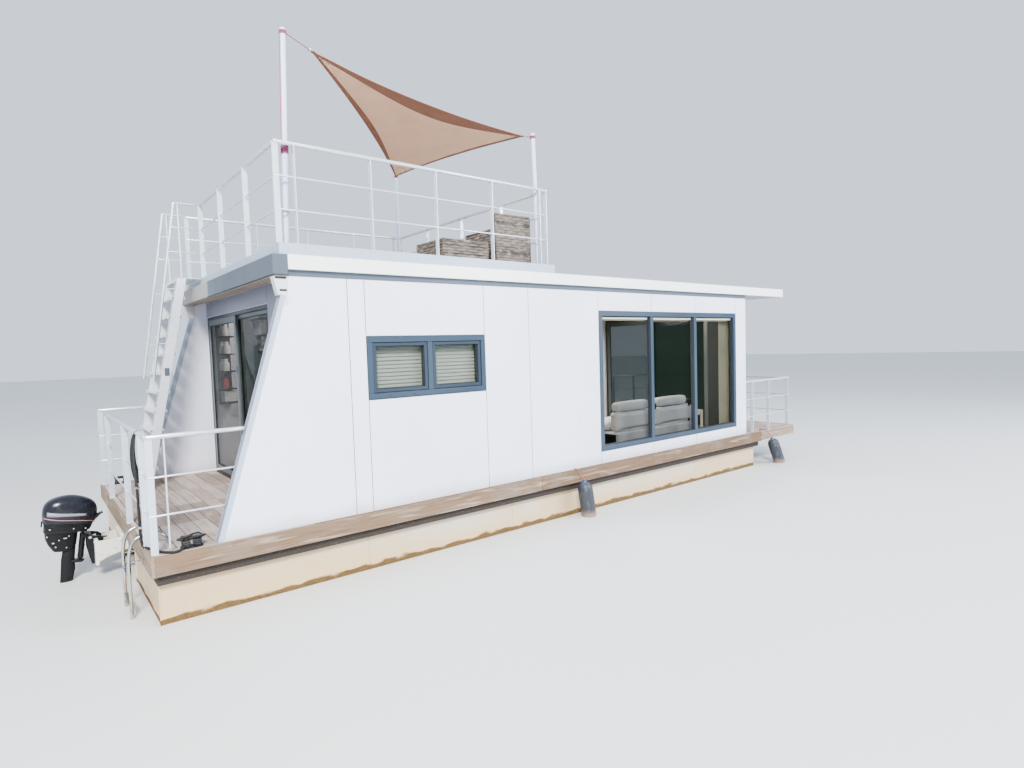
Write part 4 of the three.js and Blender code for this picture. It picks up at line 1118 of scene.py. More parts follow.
TERRACE_TOP, RAIL_INSET = 3.30, 0.08
ROOF_RAILS, DECK_RAILS, BOW_RAILS = (4.235, 3.928, 3.618), (1.61, 1.27, 0.943), (1.53, 1.206, 0.895)
PORT_LINE = BEAM - RAIL_INSET
roof = dict(heights=ROOF_RAILS, low=TERRACE_TOP + 0.001)
for side, line in (("starboard", RAIL_INSET), ("port", PORT_LINE)):
    railing(f"terrace_railing_{side}", along="x", line=line, ends=(1.192, 4.545), corners=(1.21,),
            posts=(1.38, 2.16, 2.94, 3.71, 4.455), replaces=f"roof_rail_{side}", **roof)
    railing(f"deck_railing_{side}", DECK_RAILS, "x", line, (0.02, lambda z: wing_x(z - 0.02) - 0.006), (),
            DECK + 0.001, f"deck_rail_{side}", corners=(0.045,))
railing("terrace_railing_aft", along="y", line=1.21, ends=(0.125, 3.066), corners=(0.14,),
        posts=(1.05, 2.08, 3.06), replaces="roof_rail_aft", **roof)
railing("terrace_railing_bow", along="y", line=4.59, ends=(0.072, 3.908), corners=(0.11, BEAM - 0.11),
        posts=(1.01, 1.99, 2.97), replaces="roof_rail_bow", **roof)
railing("deck_railing_stern", DECK_RAILS, "y", 0.03, (0.105, 2.908), (0.36, 1.42, 2.90), DECK + 0.001,
        "deck_rail_stern")
extra = Kit(42)
extra.tube([boat(0.16, RAIL_INSET, DECK + 0.001), boat(0.16, RAIL_INSET, DECK_RAILS[0])], 0.008, 12)
extra.disc(boat(0.16, RAIL_INSET, DECK + 0.001), (0, 0, 1), 0.02, 0.004, 16)
make("deck_railing_round_bar", extra, RAIL, "rail_aluminium")

bow_bars, bow_posts = Kit(43), Kit(44)
BOW_Y, BOW_X = (0.1, BEAM - 0.1), (9.2, 10.85)
for row, z in enumerate(BOW_RAILS):
    radius = RAIL_MID if row else RAIL_TOP
    corner = 0.05
    path = []
    for spot in ((BOW_X[0], BOW_Y[0]), (BOW_X[1] - corner, BOW_Y[0])):
        path.append(boat(*spot, z))
    for y, turn in ((BOW_Y[0] + corner, -1), (BOW_Y[1] - corner, 1)):
        for step in range(1, 8):
            angle = math.pi / 2 * step / 8
            spread = (math.sin(angle), math.cos(angle)) if turn < 0 else (math.cos(angle), math.sin(angle))
            path.append(boat(BOW_X[1] - corner + corner * spread[0], y + turn * corner * spread[1], z))
        path.append(boat(BOW_X[1], BOW_Y[1] - corner, z) if turn < 0 else boat(BOW_X[1] - corner, BOW_Y[1], z))
    path.append(boat(BOW_X[0], BOW_Y[1], z))
    bow_bars.tube(path, radius, 16)
for x in (9.49, 10.05, 10.76):
    for y in BOW_Y:
        post(bow_posts, x, y, DECK + 0.001, BOW_RAILS[0] - 0.006, False)
for y in (1.04, 1.99, 2.94):
    post(bow_posts, BOW_X[1], y, DECK + 0.001, BOW_RAILS[0] - 0.006, True)
make("bow_railing_bars", bow_bars, RAIL, "rail_aluminium", replaces="bow_rail")
make("bow_railing_posts", bow_posts, POST, "rail_aluminium")
print("railing posts 58 mm wide,", len(bow_posts.faces), "faces at the bow")

# %% [markdown]
# ## Stair
# The stair is two flat aluminium stringers with folded treads between them. A folded tread is a thin sheet with
# turned-down lips at the front and back, so from the stern you look at lips and dark gaps, not at slabs.

# %% Stair and handrails
STRINGER = drawn_aluminium("very_pale_anodised_stringer", "#DFE5F0", 0.4, 0.2)
TREAD = coated_sheet("white_painted_folded_tread", "#E9ECEE", "#A3A6A6", 0.5, 0.2)
STAIR_Y, STRINGER_BAR, STRINGER_DEEP = (3.07, 3.856), 0.012, 0.104
STAIR_FOOT, STAIR_HEAD, STAIR_STEPS = (0.427, 0.65), (0.952, 3.29), 11
stair_lean = (STAIR_HEAD[0] - STAIR_FOOT[0]) / (STAIR_HEAD[1] - STAIR_FOOT[1])


def stair_x(z):
    return STAIR_FOOT[0] + (z - STAIR_FOOT[1]) * stair_lean


stringers, treads = Kit(45), Kit(46)
stair_low, half = DECK + 0.001, STRINGER_DEEP / 2
side_form = [(stair_x(stair_low) - half, stair_low), (stair_x(stair_low) + half, stair_low),
             (STAIR_HEAD[0] + half, STAIR_HEAD[1]), (STAIR_HEAD[0] - half, STAIR_HEAD[1])]
for y in (STAIR_Y[0], STAIR_Y[1] - STRINGER_BAR):
    stringers.prism(side_form, STRINGER_BAR, upright(y), 0.0015)
    foot_x = stair_x(stair_low)
    stringers.block((foot_x - 0.05, foot_x + 0.05), (y, y + 0.045), (stair_low, stair_low + 0.006), 0.001)
inner = (STAIR_Y[0] + STRINGER_BAR, STAIR_Y[1] - STRINGER_BAR)
rib_y = (inner[0] + 0.02, inner[1] - 0.02)
for step in range(1, STAIR_STEPS):
    z = STAIR_FOOT[1] + (STAIR_HEAD[1] - STAIR_FOOT[1]) * step / STAIR_STEPS
    x = stair_x(z)
    treads.block((x - 0.083, x + 0.073), inner, (z - 0.004, z), 0.001)
    for lip in (x - 0.083, x + 0.069):
        treads.block((lip, lip + 0.004), inner, (z - 0.034, z - 0.002), 0.001)
    for rib in range(6):
        rib_x = x - 0.068 + 0.025 * rib
        treads.block((rib_x - 0.003, rib_x + 0.003), rib_y, (z - 0.001, z + 0.0012), 0.001)
    for y, way in ((STAIR_Y[0], -1), (STAIR_Y[1], 1)):
        for bolt in (-0.02, 0.02):
            stringers.disc(boat(x + bolt, y, z - 0.016), (0, way, 0), 0.006, 0.004, 6)
head_x = STAIR_HEAD[0] - half
treads.block((head_x, 1.174), inner, (3.286, 3.29), 0.001)
treads.block((head_x, head_x + 0.004), inner, (3.255, 3.288), 0.001)
make("stair_stringers", stringers, STRINGER, "stair_aluminium", replaces="stair")
make("stair_treads", treads, TREAD, "stair_aluminium")

HANDRAIL_FOOT, KNEE_X, STANCHION_X, LEVEL_END = (0.563, 2.0), 0.905, 0.95, 1.135


def handrail_x(z):
    foot_x, foot_z = HANDRAIL_FOOT
    return foot_x + (KNEE_X - foot_x) * (z - foot_z) / (ROOF_RAILS[0] - foot_z)


for label, y in (("inner", 3.076), ("outer", 3.843)):
    tube = Kit(47)
    top = ROOF_RAILS[0]
    knee, foot = boat(KNEE_X, y, top), boat(HANDRAIL_FOOT[0], y, HANDRAIL_FOOT[1])
    ahead = (knee - foot).normalized()
    bend = [knee - ahead * 0.03, knee - ahead * 0.01 + Vector((0.001, 0, 0)), knee + Vector((0.01, 0, -0.001)),
            knee + Vector((0.03, 0, 0))]
    tube.tube([foot, *smooth_path(bend, 5), boat(LEVEL_END, y, top)], 0.017, 16)
    tube.tube([boat(STANCHION_X, y, 3.291), boat(STANCHION_X, y, top)], 0.012, 12)
    for z in ROOF_RAILS[1:]:
        rail_tube(tube, boat(handrail_x(z), y, z), boat(LEVEL_END, y, z), RAIL_MID)
    for tread in (7.5, 10.4):
        z = STAIR_FOOT[1] + (STAIR_HEAD[1] - STAIR_FOOT[1]) * tread / STAIR_STEPS
        tube.tube([boat(handrail_x(z), y, z), boat(stair_x(z) - half - 0.001, y, z)], 0.009, 12)
    make(f"stair_handrail_{label}_tube", tube, RAIL, "rail_aluminium", replaces=f"stair_handrail_{label}")
print("stair leans", round(math.degrees(math.atan(stair_lean)), 1), "degrees")

# %% [markdown]
# ## Masts
# The three masts are white lacquered tubes with a cap and a foot plate, held to the railing by clamps. The aft one
# leans a little. A tube between two points does for each, with short sleeves where the sections join.

# %% Masts
MAST_WHITE = moulded_plastic("white_lacquered_mast_tube", "#D2D9F0", 0.32, "#AEB4C2", 1.5)
RED_ROPE = braided_rope("pink_and_red_braided_rope", "#B56A78", "#7E3A78")
MASTS = (
    ("mast_aft", (1.30, 0.16), (1.372, 0.17, 5.33), 0.028),
    ("mast_bow_starboard", (4.498, 0.16), (4.456, 0.16, 4.95), 0.029),
    ("mast_bow_port", (4.52, 3.80), (4.50, 3.80, 5.33), 0.030),
)
for name, foot, head, radius in MASTS:
    tube = Kit(48)
    start, end = boat(*foot, TERRACE_TOP + 0.004), boat(*head)
    ahead = (end - start).normalized()
    tube.tube([start, end - ahead * 0.03], radius, 24)
    tube.turned([(0, 0), (radius * 1.04, 0), (radius * 1.04, 0.02), (radius * 0.7, 0.029), (0, 0.03)],
                end - ahead * 0.03, ahead, 24)
    foot_x = (foot[0] - radius - 0.008, foot[0] + radius + 0.008)
    foot_y = (foot[1] - radius - 0.004, foot[1] + radius + 0.008)
    tube.block(foot_x, foot_y, (TERRACE_TOP + 0.001, TERRACE_TOP + 0.01), 0.002)
    for share in (0.32, 0.40, 0.93):
        sleeve = start + (end - start) * share
        tube.tube([sleeve, sleeve + ahead * 0.018], radius + 0.003, 24)
    make(f"{name}_tube", tube, MAST_WHITE, "mast_coating", replaces=name)
print("masts", len(MASTS))

# %% [markdown]
# ## Doors
# Both facades have a glazed sliding door: a fixed leaf in the frame, and a leaf that slides behind it. The moving
# leaf is a piece of its own and rides on its own CAD body, with its pane, its gasket and its handle, so that
# all of them travel together when the door opens.

# %% Doors
DOOR_DARK = coated_sheet("anthracite_powder_coated_door_frame", "#262B32", "#4A5058", 0.36, 0.25)
DOOR_GREY = coated_sheet("slate_grey_powder_coated_door", "#5D6568", "#848C8F", 0.36, 0.25)
DOOR_PANE = window_pane("dark_tinted_door_glass", "#16231F", 0.5)
# The moving leaves' glass is nearly opaque dark green: painted reflection of the green round the boat.
GREEN_REFLECTION_PANE = window_pane("door_glass_painted_green_reflection", "#16241B", 0.8)
HANDLE_BLACK = moulded_plastic("black_satin_handle", "#1B1D1F", 0.35)
# The facade cladding is darker than its own pale grey: painted shade, as the facades stand in shade.
FACADE_SHADE_GREY = coated_sheet("light_grey_facade_panel", "#8F91A1", "#737786", 0.42, 0.3)
DOOR_BAR = 0.075


def ring_across(kit, y, z, x, bars, soft=0.002):
    """Four bars round a rectangle that stands across the boat; bars are (sides, bottom, top)."""
    side, bottom, top = bars
    kit.block(x, y, (z[1] - top, z[1]), soft)
    kit.block(x, y, (z[0], z[0] + bottom), soft)
    kit.block(x, (y[0], y[0] + side), (z[0] + bottom, z[1] - top), soft)
    kit.block(x, (y[1] - side, y[1]), (z[0] + bottom, z[1] - top), soft)


def glazed_leaf(label, y, z, x, glass, body="root"):
    bars, seal, pane = Kit(50), Kit(), Kit()
    ring_across(bars, y, z, x, (DOOR_BAR, DOOR_BAR, DOOR_BAR))
    middle = (x[0] + x[1]) / 2
    inside_y, inside_z = (y[0] + DOOR_BAR, y[1] - DOOR_BAR), (z[0] + DOOR_BAR, z[1] - DOOR_BAR)
    for face in ((x[0] + 0.003, middle - 0.004), (middle + 0.004, x[1] - 0.003)):
        ring_across(seal, inside_y, inside_z, face, (0.01, 0.01, 0.01), 0.001)
    pane.block((middle - 0.004, middle + 0.004), inside_y, inside_z, 0.0)
    make(f"{label}_seal", seal, GASKET_AND_SHADE_BLACK, "window_frame", body)
    make(f"{label}_pane", pane, glass, "window_glass", body)
    return bars


def door_handle(kit, x, y, way):
    """A grip on two stand-offs and the lock plate behind it."""
    out = x + way * 0.043
    path = [boat(x - way * 0.003, y, 1.50), boat(x + way * 0.03, y, 1.50), boat(out, y, 1.52), boat(out, y, 1.76),
            boat(x + way * 0.03, y, 1.78), boat(x - way * 0.003, y, 1.78)]
    kit.tube(smooth_path(path, 5), 0.009, 14)
    kit.block(sorted((x, x + way * 0.006)), (y - 0.024, y + 0.024), (1.40, 1.47), 0.002)
    kit.disc(boat(x + way * 0.006, y, 1.435), (way, 0, 0), 0.011, 0.006, 16)


doors = (
    # name, opening y, top, frame x, leaf x, fixed leaf y, leaf y, side that the handle faces, handle inset
    ("door_aft", (1.13, 3.862), 2.826, (1.402, 1.432), (1.4395, 1.4715),
     (2.451, 3.862), (1.1425, 2.5405), -1, 0.07),
    ("door_bow", (0.72, 3.26), 2.78, (9.125, 9.155), (9.0855, 9.1175),
     (1.945, 3.26), (0.7325, 2.0345), 1, 0.08),
)
for name, opening, top, frame_x, leaf_x, fixed_y, leaf_y, way, inset in doors:
    low = DECK + 0.001
    surround = Kit(51)
    surround_y, track_y = (opening[0] + 0.001, opening[1] - 0.001), (opening[0] + 0.05, opening[1] - 0.05)
    ring_across(surround, surround_y, (low, top - 0.001), frame_x, (0.045, 0.03, 0.045))
    for track in (0.25, 0.7):
        x = frame_x[0] + (frame_x[1] - frame_x[0]) * track
        surround.block((x - 0.002, x + 0.002), track_y, (low + 0.03, low + 0.038), 0.001)
    fixed = glazed_leaf(f"{name}_fixed", (fixed_y[0], fixed_y[1] - 0.046), (low + 0.031, top - 0.047),
                        (frame_x[0] + 0.002, frame_x[1] - 0.002), DOOR_PANE)
    make(f"{name}_fixed_bars", fixed, DOOR_GREY, "door_frame")
    make(f"{name}_surround", surround, DOOR_DARK, "door_frame", replaces=f"{name}_frame")
    moving = glazed_leaf(f"{name}_moving", leaf_y, (DECK + 0.0125, top - 0.0155), leaf_x, GREEN_REFLECTION_PANE, name)
    make(f"{name}_leaf_bars", moving, DOOR_GREY, "door_frame", name, replaces=f"{name}_leaf")
    handle = Kit(52)
    door_handle(handle, leaf_x[1] if way > 0 else leaf_x[0], opening[0] + inset, way)
    make(f"{name}_handle", handle, HANDLE_BLACK, "black_iron", name)

FACADE_TOP = 3.03
facade_cover = Kit(53)
side_y = (0.125, BEAM - 0.125)
for x, (_, opening, top, *_) in zip(((1.3945, 1.3975), (9.1605, 9.1635)), doors):
    facade_cover.block(x, (side_y[0], opening[0] - 0.004), (WALL_LOW, FACADE_TOP), 0.001)
    if side_y[1] - opening[1] > 0.05:
        facade_cover.block(x, (opening[1] + 0.004, side_y[1]), (WALL_LOW, FACADE_TOP), 0.001)
    facade_cover.block(x, (opening[0] + 0.002, opening[1] - 0.002), (top + 0.004, FACADE_TOP), 0.001)
make("facade_cladding", facade_cover, FACADE_SHADE_GREY, "wall_panel")
print("door leaves", [d[0] for d in doors])

# %% [markdown]
# ## Sun sail
# The sail is one sheet of knitted cloth, cut with hollow edges and stretched between three rings. Its middle
# surface is a Bezier triangle: three corners, and three handles that pull the edges in. Lifting and lowering the
# handles gives the slight saddle that a stretched sail has. The hem is a doubled band with a round cord along the
# edge.

# %% Sun sail
# The cloth is paler than its own orange: painted light for the sun shining through it, with some real transmission as
# well.
SAIL_CLOTH = woven_cloth("orange_knitted_shade_cloth_painted_backlit", "#FFE0C2", "#F2C79E", 0.006, "XY", 0.88, 0.2, 0.45)
# The hem cloth is the darker doubled orange; its wide band on the starboard edge is painted shade where the cloth
# turns up.
SAIL_HEM_AND_SHADE = woven_cloth("orange_hem_cloth_and_painted_fold_shade", "#8F5532", "#A36A44", 0.006, "XY", 0.9, 0.2)
CORNERS = [boat(1.71, 0.33, 5.27), boat(4.38, 0.24, 4.92), boat(4.44, 3.70, 5.235)]
PULL, SAIL_ROWS = 0.28, 40
sail_middle = sum(CORNERS, Vector()) / 3
handles = {}
for i, j, lift in ((0, 1, -0.02), (1, 2, -0.05), (2, 0, -0.06)):
    handles[(i, j)] = ((CORNERS[i] + CORNERS[j]) / 2).lerp(sail_middle, PULL) + Vector((0, 0, lift))


def sail_point(a, b, c):
    shares = (a, b, c)
    point = sum((CORNERS[i] * shares[i] ** 2 for i in range(3)), Vector())
    for (i, j), handle in handles.items():
        point += handle * (2 * shares[i] * shares[j])
    # Two soft creases run from the aft corner, where the pull is strongest
    return point + Vector((0, 0, 0.006 * math.sin(14 * b / (b + c + 0.05)) * a * (1 - a) * 4))


def sail_sheet():
    """The whole sail as a fine triangular net."""
    index, points, faces = {}, [], []
    for i in range(SAIL_ROWS + 1):
        for j in range(SAIL_ROWS + 1 - i):
            a, b = i / SAIL_ROWS, j / SAIL_ROWS
            index[(i, j)] = len(points)
            points.append(sail_point(a, b, 1 - a - b))
    for i in range(SAIL_ROWS):
        for j in range(SAIL_ROWS - i):
            faces.append([index[(i, j)], index[(i + 1, j)], index[(i, j + 1)]])
            if i + j < SAIL_ROWS - 1:
                faces.append([index[(i + 1, j)], index[(i + 1, j + 1)], index[(i, j + 1)]])
    return points, faces


sail_kit = Kit(54).add(*sail_sheet(), 0.5)
sail = make("sun_sail_cloth", sail_kit, SAIL_CLOTH, "sail_fabric", replaces="sun_sail", sharp=180)
thickness = sail.modifiers.new("cloth_thickness", "SOLIDIFY")
thickness.thickness, thickness.offset = 0.0016, 0

hem, rings, webbing = Kit(55), Kit(56), Kit(57)
HEM_STEPS, HEM_ROWS, HEM_NARROW = 60, 8, 0.04
# The 0.30 m band on the starboard edge is painted shade; the narrow bands are the doubled hem.
HEM_AND_SHADE_WIDE = {(0, 1): 0.30, (1, 2): 0.04, (2, 0): 0.09}  # the doubled band's width halfway along each edge
sail_normal = (CORNERS[1] - CORNERS[0]).cross(CORNERS[2] - CORNERS[0]).normalized()


def beside_edge(i, j, t, inward):
    """A point on the sail, `t` along the edge from corner i to j and a share `inward` toward the third."""
    shares = [inward] * 3
    shares[i], shares[j] = (1 - t) * (1 - inward), t * (1 - inward)
    return sail_point(*shares)


for (i, j), wide in HEM_AND_SHADE_WIDE.items():
    rim = [beside_edge(i, j, k / HEM_STEPS, 0) for k in range(HEM_STEPS + 1)]
    hem.tube(rim, 0.004, 8, tone=0.5)
    grid = []
    for k in range(HEM_STEPS + 1):
        t = k / HEM_STEPS
        here = HEM_NARROW + (wide - HEM_NARROW) * math.sin(math.pi * t)
        pace = (beside_edge(i, j, t, 0.02) - rim[k]).length / 0.02
        grid.append([beside_edge(i, j, t, here / pace * r / HEM_ROWS) for r in range(HEM_ROWS + 1)])
    for side in (1, -1):
        points = [p + sail_normal * (0.0022 * side) for row in grid for p in row]
        faces = []
        for k in range(HEM_STEPS):
            for r in range(HEM_ROWS):
                a, b = k * (HEM_ROWS + 1) + r, (k + 1) * (HEM_ROWS + 1) + r
                faces.append([a, b, b + 1, a + 1] if side > 0 else [a + 1, b + 1, b, a])
        hem.add(points, faces, 0.5)
for corner in range(3):
    toward = (sail_middle - CORNERS[corner]).normalized()
    centre = CORNERS[corner] - toward * 0.018
    across_dir = toward.cross(sail_normal).normalized()
    loop = [centre + (toward * math.cos(t) + across_dir * math.sin(t)) * 0.026 for t in round_steps(20)]
    rings.tube(loop, 0.004, 10, closed=True)
    patch = (CORNERS[corner] - toward * 0.004, CORNERS[corner] + toward * 0.17)
    webbing.beam(*patch, 0.045, 0.006, across_dir, 0.002)
STAINLESS = polished_stainless()
hem_piece = make("sun_sail_hem_and_painted_shade", hem, SAIL_HEM_AND_SHADE, "sail_fabric", sharp=60)
ring_piece = make("sun_sail_rings", rings, STAINLESS, "stainless_steel")
patch_piece = make("sun_sail_corner_webbing", webbing, SAIL_HEM_AND_SHADE, "sail_fabric")

# %% [markdown]
# The sail's lines are short and taut. Each runs from its ring to a few turns round the mast, and the aft one
# ends in close turns round its mast at rail height. They can't hang, so they are straight tubes with a braided
# finish.

# %% Sail lines
lines = Kit(58)


def turns_round(kit, foot, ahead, radius, count, rope):
    """A line wound round a mast, in close turns."""
    side = ahead.orthogonal().normalized()
    up = ahead.cross(side)
    path = []
    for k in range(count * 14 + 1):
        angle = 2 * math.pi * k / 14
        spoke = side * math.cos(angle) + up * math.sin(angle)
        path.append(foot + ahead * (rope * 2.1 * k / 14) + spoke * radius)
    kit.tube(path, rope, 8)


for (name, foot, head, radius), corner, drop in zip(MASTS, CORNERS, (0.03, 0.04, 0.06)):
    start, end = boat(*foot, TERRACE_TOP), boat(*head)
    ahead = (end - start).normalized()
    tie = end - ahead * drop
    ring_end = corner + (tie - corner).normalized() * 0.03
    lines.tube([ring_end, tie + (ring_end - tie).normalized() * radius], 0.005, 10)
    turns_round(lines, tie - ahead * 0.03, ahead, radius + 0.004, 4, 0.004)
_, aft_foot, aft_head, aft_radius = MASTS[0]
aft_foot = boat(*aft_foot, TERRACE_TOP)
up_mast = (boat(*aft_head) - aft_foot).normalized()
AFT_TURNS = 7
turns_round(lines, aft_foot + up_mast * 0.86, up_mast, aft_radius + 0.004, AFT_TURNS, 0.005)
beside = Vector((-aft_radius - 0.006, -0.012, 0))
lines.tube([aft_foot + beside + up_mast * height for height in (0.95, 1.98)], 0.004, 8)
make("sail_lines", lines, RED_ROPE, "sail_fabric")
for rail_z, label in ((ROOF_RAILS[2], "low"), (ROOF_RAILS[0], "high")):
    clamp = Kit(59)
    middle = aft_foot + up_mast * (rail_z - TERRACE_TOP)
    clamp.tube([middle - up_mast * 0.012, middle + up_mast * 0.012], aft_radius + 0.0035, 24)
    bridge = (boat(0, RAIL_INSET + 0.018, rail_z), middle - Vector((0, aft_radius, 0)))
    clamp.beam(Vector((middle.x, bridge[0].y, middle.z)), bridge[1], 0.024, 0.024, (1, 0, 0), 0.002)
    clamp.disc(middle + Vector((0, aft_radius + 0.003, 0)), (0, 1, 0), 0.007, 0.006, 6)
    make(f"mast_clamp_{label}", clamp, STAINLESS, "stainless_steel")
print("turns on the aft mast", AFT_TURNS)

# %% [markdown]
# ## Outboard
# The engine stands tipped up by 8 degrees, so it is drawn in its own upright frame, with the tilt axis at the
# origin, and `MOTOR` carries it to its place. The cowl and covers are lofted: rings at several heights, each a
# superellipse, which is what gives a moulded cover its full, soft-cornered plan.

# %% Outboard frame and lofts
TILT_X, MIDDLE_Y, TILT_Z = -0.28, 1.99, 0.44
TILT = boat(TILT_X, MIDDLE_Y, TILT_Z)
MOTOR = Matrix.Translation(TILT) @ Matrix.Rotation(math.radians(8), 4, "Y")
ahead_m, side_m, up_m = (MOTOR.to_3x3() @ Vector(v) for v in ((1, 0, 0), (0, 1, 0), (0, 0, 1)))
STEER, SHAFT = -0.058, -0.69
MOTOR_BLACK = moulded_plastic("gloss_black_engine_paint", "#20222B", 0.2, "#3D4250", 1.55)
MOTOR_SATIN = moulded_plastic("satin_black_moulded_cover", "#15171A", 0.4, "#34383D")
SILVER_LINE = moulded_plastic("silver_vinyl_stripe", "#9297A0", 0.35)
PINK_LINE = moulded_plastic("faded_red_vinyl_stripe", "#B98A92", 0.4)
BRACKET_WHITE = painted_iron("chalky_white_painted_plate", "#E4E3DC", "#A89C86", 0.5)
PROP_BRONZE = painted_iron("black_painted_propeller", "#24272B", "#7C7468", 0.35)


def at_motor(x, y, z):
    """A place in the engine's upright frame, its x counted from the steering axis."""
    return MOTOR @ Vector((x + STEER, y, z))


def oval(back, front, half, power, count, taper=0.0):
    """A superellipse in plan, narrower to the front by `taper`."""
    middle, reach = (back + front) / 2, (front - back) / 2
    ring = []
    for angle in round_steps(count):
        c, s = math.cos(angle), math.sin(angle)
        x = math.copysign(abs(c) ** (2 / power), c)
        y = math.copysign(abs(s) ** (2 / power), s)
        ring.append((middle + reach * x, half * y * (1 - taper * (x + 1) / 2)))
    return ring


def loft(kit, levels, power, place, count=48, taper=0.0):
    """Rings (z, back, front, half width) skinned from the lowest to the highest, closed by caps."""
    points = [place @ Vector((x, y, z)) for z, b, f, h in levels for x, y in oval(b, f, h, power, count, taper)]
    faces = [list(reversed(range(count))), [(len(levels) - 1) * count + i for i in range(count)]]
    for level in range(len(levels) - 1):
        faces += band_faces(level * count, (level + 1) * count, count)
    kit.add(points, faces, 0.5)


def level_at(levels, z):
    """The loft's own level at a height between two rings."""
    for low, high in zip(levels, levels[1:]):
        if low[0] <= z <= high[0]:
            t = (z - low[0]) / (high[0] - low[0])
            return [p + (q - p) * t for p, q in zip(low, high)]
    return list(levels[-1])


COWL = [(z, b + STEER, f + STEER, h) for z, b, f, h in (
    (0.1395, -0.336, 0.084, 0.128), (0.147, -0.344, 0.092, 0.137), (0.175, -0.352, 0.100, 0.143),
    (0.215, -0.357, 0.106, 0.146), (0.26, -0.360, 0.107, 0.146), (0.30, -0.357, 0.102, 0.143),
    (0.335, -0.345, 0.088, 0.136), (0.362, -0.325, 0.066, 0.125), (0.385, -0.295, 0.034, 0.108),
    (0.403, -0.258, -0.006, 0.086), (0.416, -0.215, -0.052, 0.058), (0.424, -0.175, -0.092, 0.028),
    (0.426, -0.150, -0.118, 0.008))]
COWL_POWER, COWL_TAPER, COVER_TAPER = 2.7, 0.22, 0.3
COWL_SIDES, STRIPE_PROUD = 64, 0.0015
cowl = Kit(60)
loft(cowl, COWL, COWL_POWER, MOTOR, COWL_SIDES, COWL_TAPER)
make("engine_cowl", cowl, MOTOR_BLACK, "motor_paint", "motor", replaces="motor_cowl", sharp=60, divide=1)


def cowl_band(kit, z_low, z_high, first, last, slope=0.0):
    """A strip laid on the cowl between two heights, from one angle round to another."""
    rows = []
    for side in (0, 1):
        row = []
        for k in range(first, last + 1):
            share = (k - first) / (last - first)
            z = (z_low + slope * share) + (z_high - z_low) * side * (1 - 0.55 * share)
            _, back, front, half = level_at(COWL, z)
            reach = (back - STRIPE_PROUD, front + STRIPE_PROUD, half + STRIPE_PROUD)
            x, y = oval(*reach, COWL_POWER, COWL_SIDES, COWL_TAPER)[k % COWL_SIDES]
            row.append(MOTOR @ Vector((x, y, z)))
        rows.append(row)
    start, steps = len(kit.points), last - first + 1
    kit.points += rows[0] + rows[1]
    kit.tones += [0.5] * (2 * steps)
    for k in range(steps - 1):
        kit.faces.append([start + k, start + k + 1, start + steps + k + 1, start + steps + k])


silver, pink, seams = Kit(61), Kit(62), Kit(63)
for first, last in ((37, 58), (68, 89)):
    # A broad band with a thin sloping line under it
    cowl_band(silver, 0.226, 0.272, first + 2, last - 5)
    slope = -0.05 if first < COWL_SIDES else 0.05
    cowl_band(pink, 0.205 + min(0.0, -slope), 0.216 + min(0.0, -slope), first - 1, last + 3, slope=slope)
for kit, finish, label in ((silver, SILVER_LINE, "silver"), (pink, PINK_LINE, "red")):
    stripe = make(f"cowl_stripe_{label}", kit, finish, "motor_paint", "motor", sharp=180)
    layer = stripe.modifiers.new("vinyl_thickness", "SOLIDIFY")
    layer.thickness, layer.offset = 0.0008, 0
COVER = [(z, b + STEER, f + STEER, h) for z, b, f, h in (
    (-0.148, -0.228, -0.10, 0.045), (-0.14, -0.24, -0.08, 0.06), (-0.08, -0.283, -0.047, 0.076),
    (-0.02, -0.312, -0.045, 0.086), (0.036, -0.322, -0.045, 0.09), (0.054, -0.330, -0.02, 0.10),
    (0.064, -0.331, 0.050, 0.116), (0.09, -0.334, 0.066, 0.121), (0.12, -0.335, 0.074, 0.122),
    (0.133, -0.334, 0.076, 0.122), (0.1378, -0.330, 0.072, 0.118))]
leg = Kit(64)
loft(leg, COVER, COWL_POWER, MOTOR, 48, COVER_TAPER)
shaft_form = [(z, b + STEER, f + STEER, h) for z, b, f, h in (
    (-0.815, -0.128, -0.112, 0.006), (-0.78, -0.142, -0.082, 0.013), (-0.74, -0.15, -0.05, 0.02),
    (-0.64, -0.15, -0.032, 0.028), (-0.525, -0.15, -0.048, 0.028), (-0.33, -0.158, -0.034, 0.03),
    (-0.24, -0.163, -0.047, 0.03), (-0.14, -0.158, -0.05, 0.03), (0.05, -0.150, -0.050, 0.03))]
loft(leg, shaft_form, 2.0, MOTOR, 32, 0.1)
plate_form = oval(STEER - 0.228, STEER - 0.012, 0.074, 2.6, 32)
leg.prism(plate_form, 0.008, MOTOR @ Matrix.Translation((0, 0, -0.529)), 0.002)
gear_profile = [(0, -0.203), (0.03, -0.2), (0.037, -0.17), (0.04, -0.12), (0.04, -0.04), (0.036, -0.012),
                (0.026, 0.006), (0.012, 0.016), (0, 0.02)]
shaft_at = MOTOR @ Vector((0, 0, SHAFT))
leg.turned([(r, h + STEER + 0.018) for r, h in gear_profile], shaft_at, ahead_m, 28)
for z in (-0.25, 0.055):
    leg.tube([at_motor(0, 0, z - 0.012), at_motor(0, 0, z + 0.006)], 0.036, 24)
leg.tube([at_motor(0, 0, -0.262), at_motor(0, 0, 0.06)], 0.0128, 16)
leg.beam(at_motor(-0.08, 0, -0.256), at_motor(0.02, 0, -0.256), 0.074, 0.03, side_m, 0.006)
make("engine_leg", leg, MOTOR_SATIN, "motor_paint", "motor", replaces="motor_leg", sharp=40)
for z, grow, ring_level, taper in (
    (0.1386, 0.001, level_at(COWL, 0.1395), COWL_TAPER), (0.062, 0.0015, level_at(COVER, 0.062), COVER_TAPER)
):
    _, back, front, half = ring_level
    plan = oval(back - grow, front + grow, half + grow, COWL_POWER, COWL_SIDES, taper)
    ring = [MOTOR @ Vector((x, y, z)) for x, y in plan]
    seams.tube(ring, 0.0025, 6, closed=True)
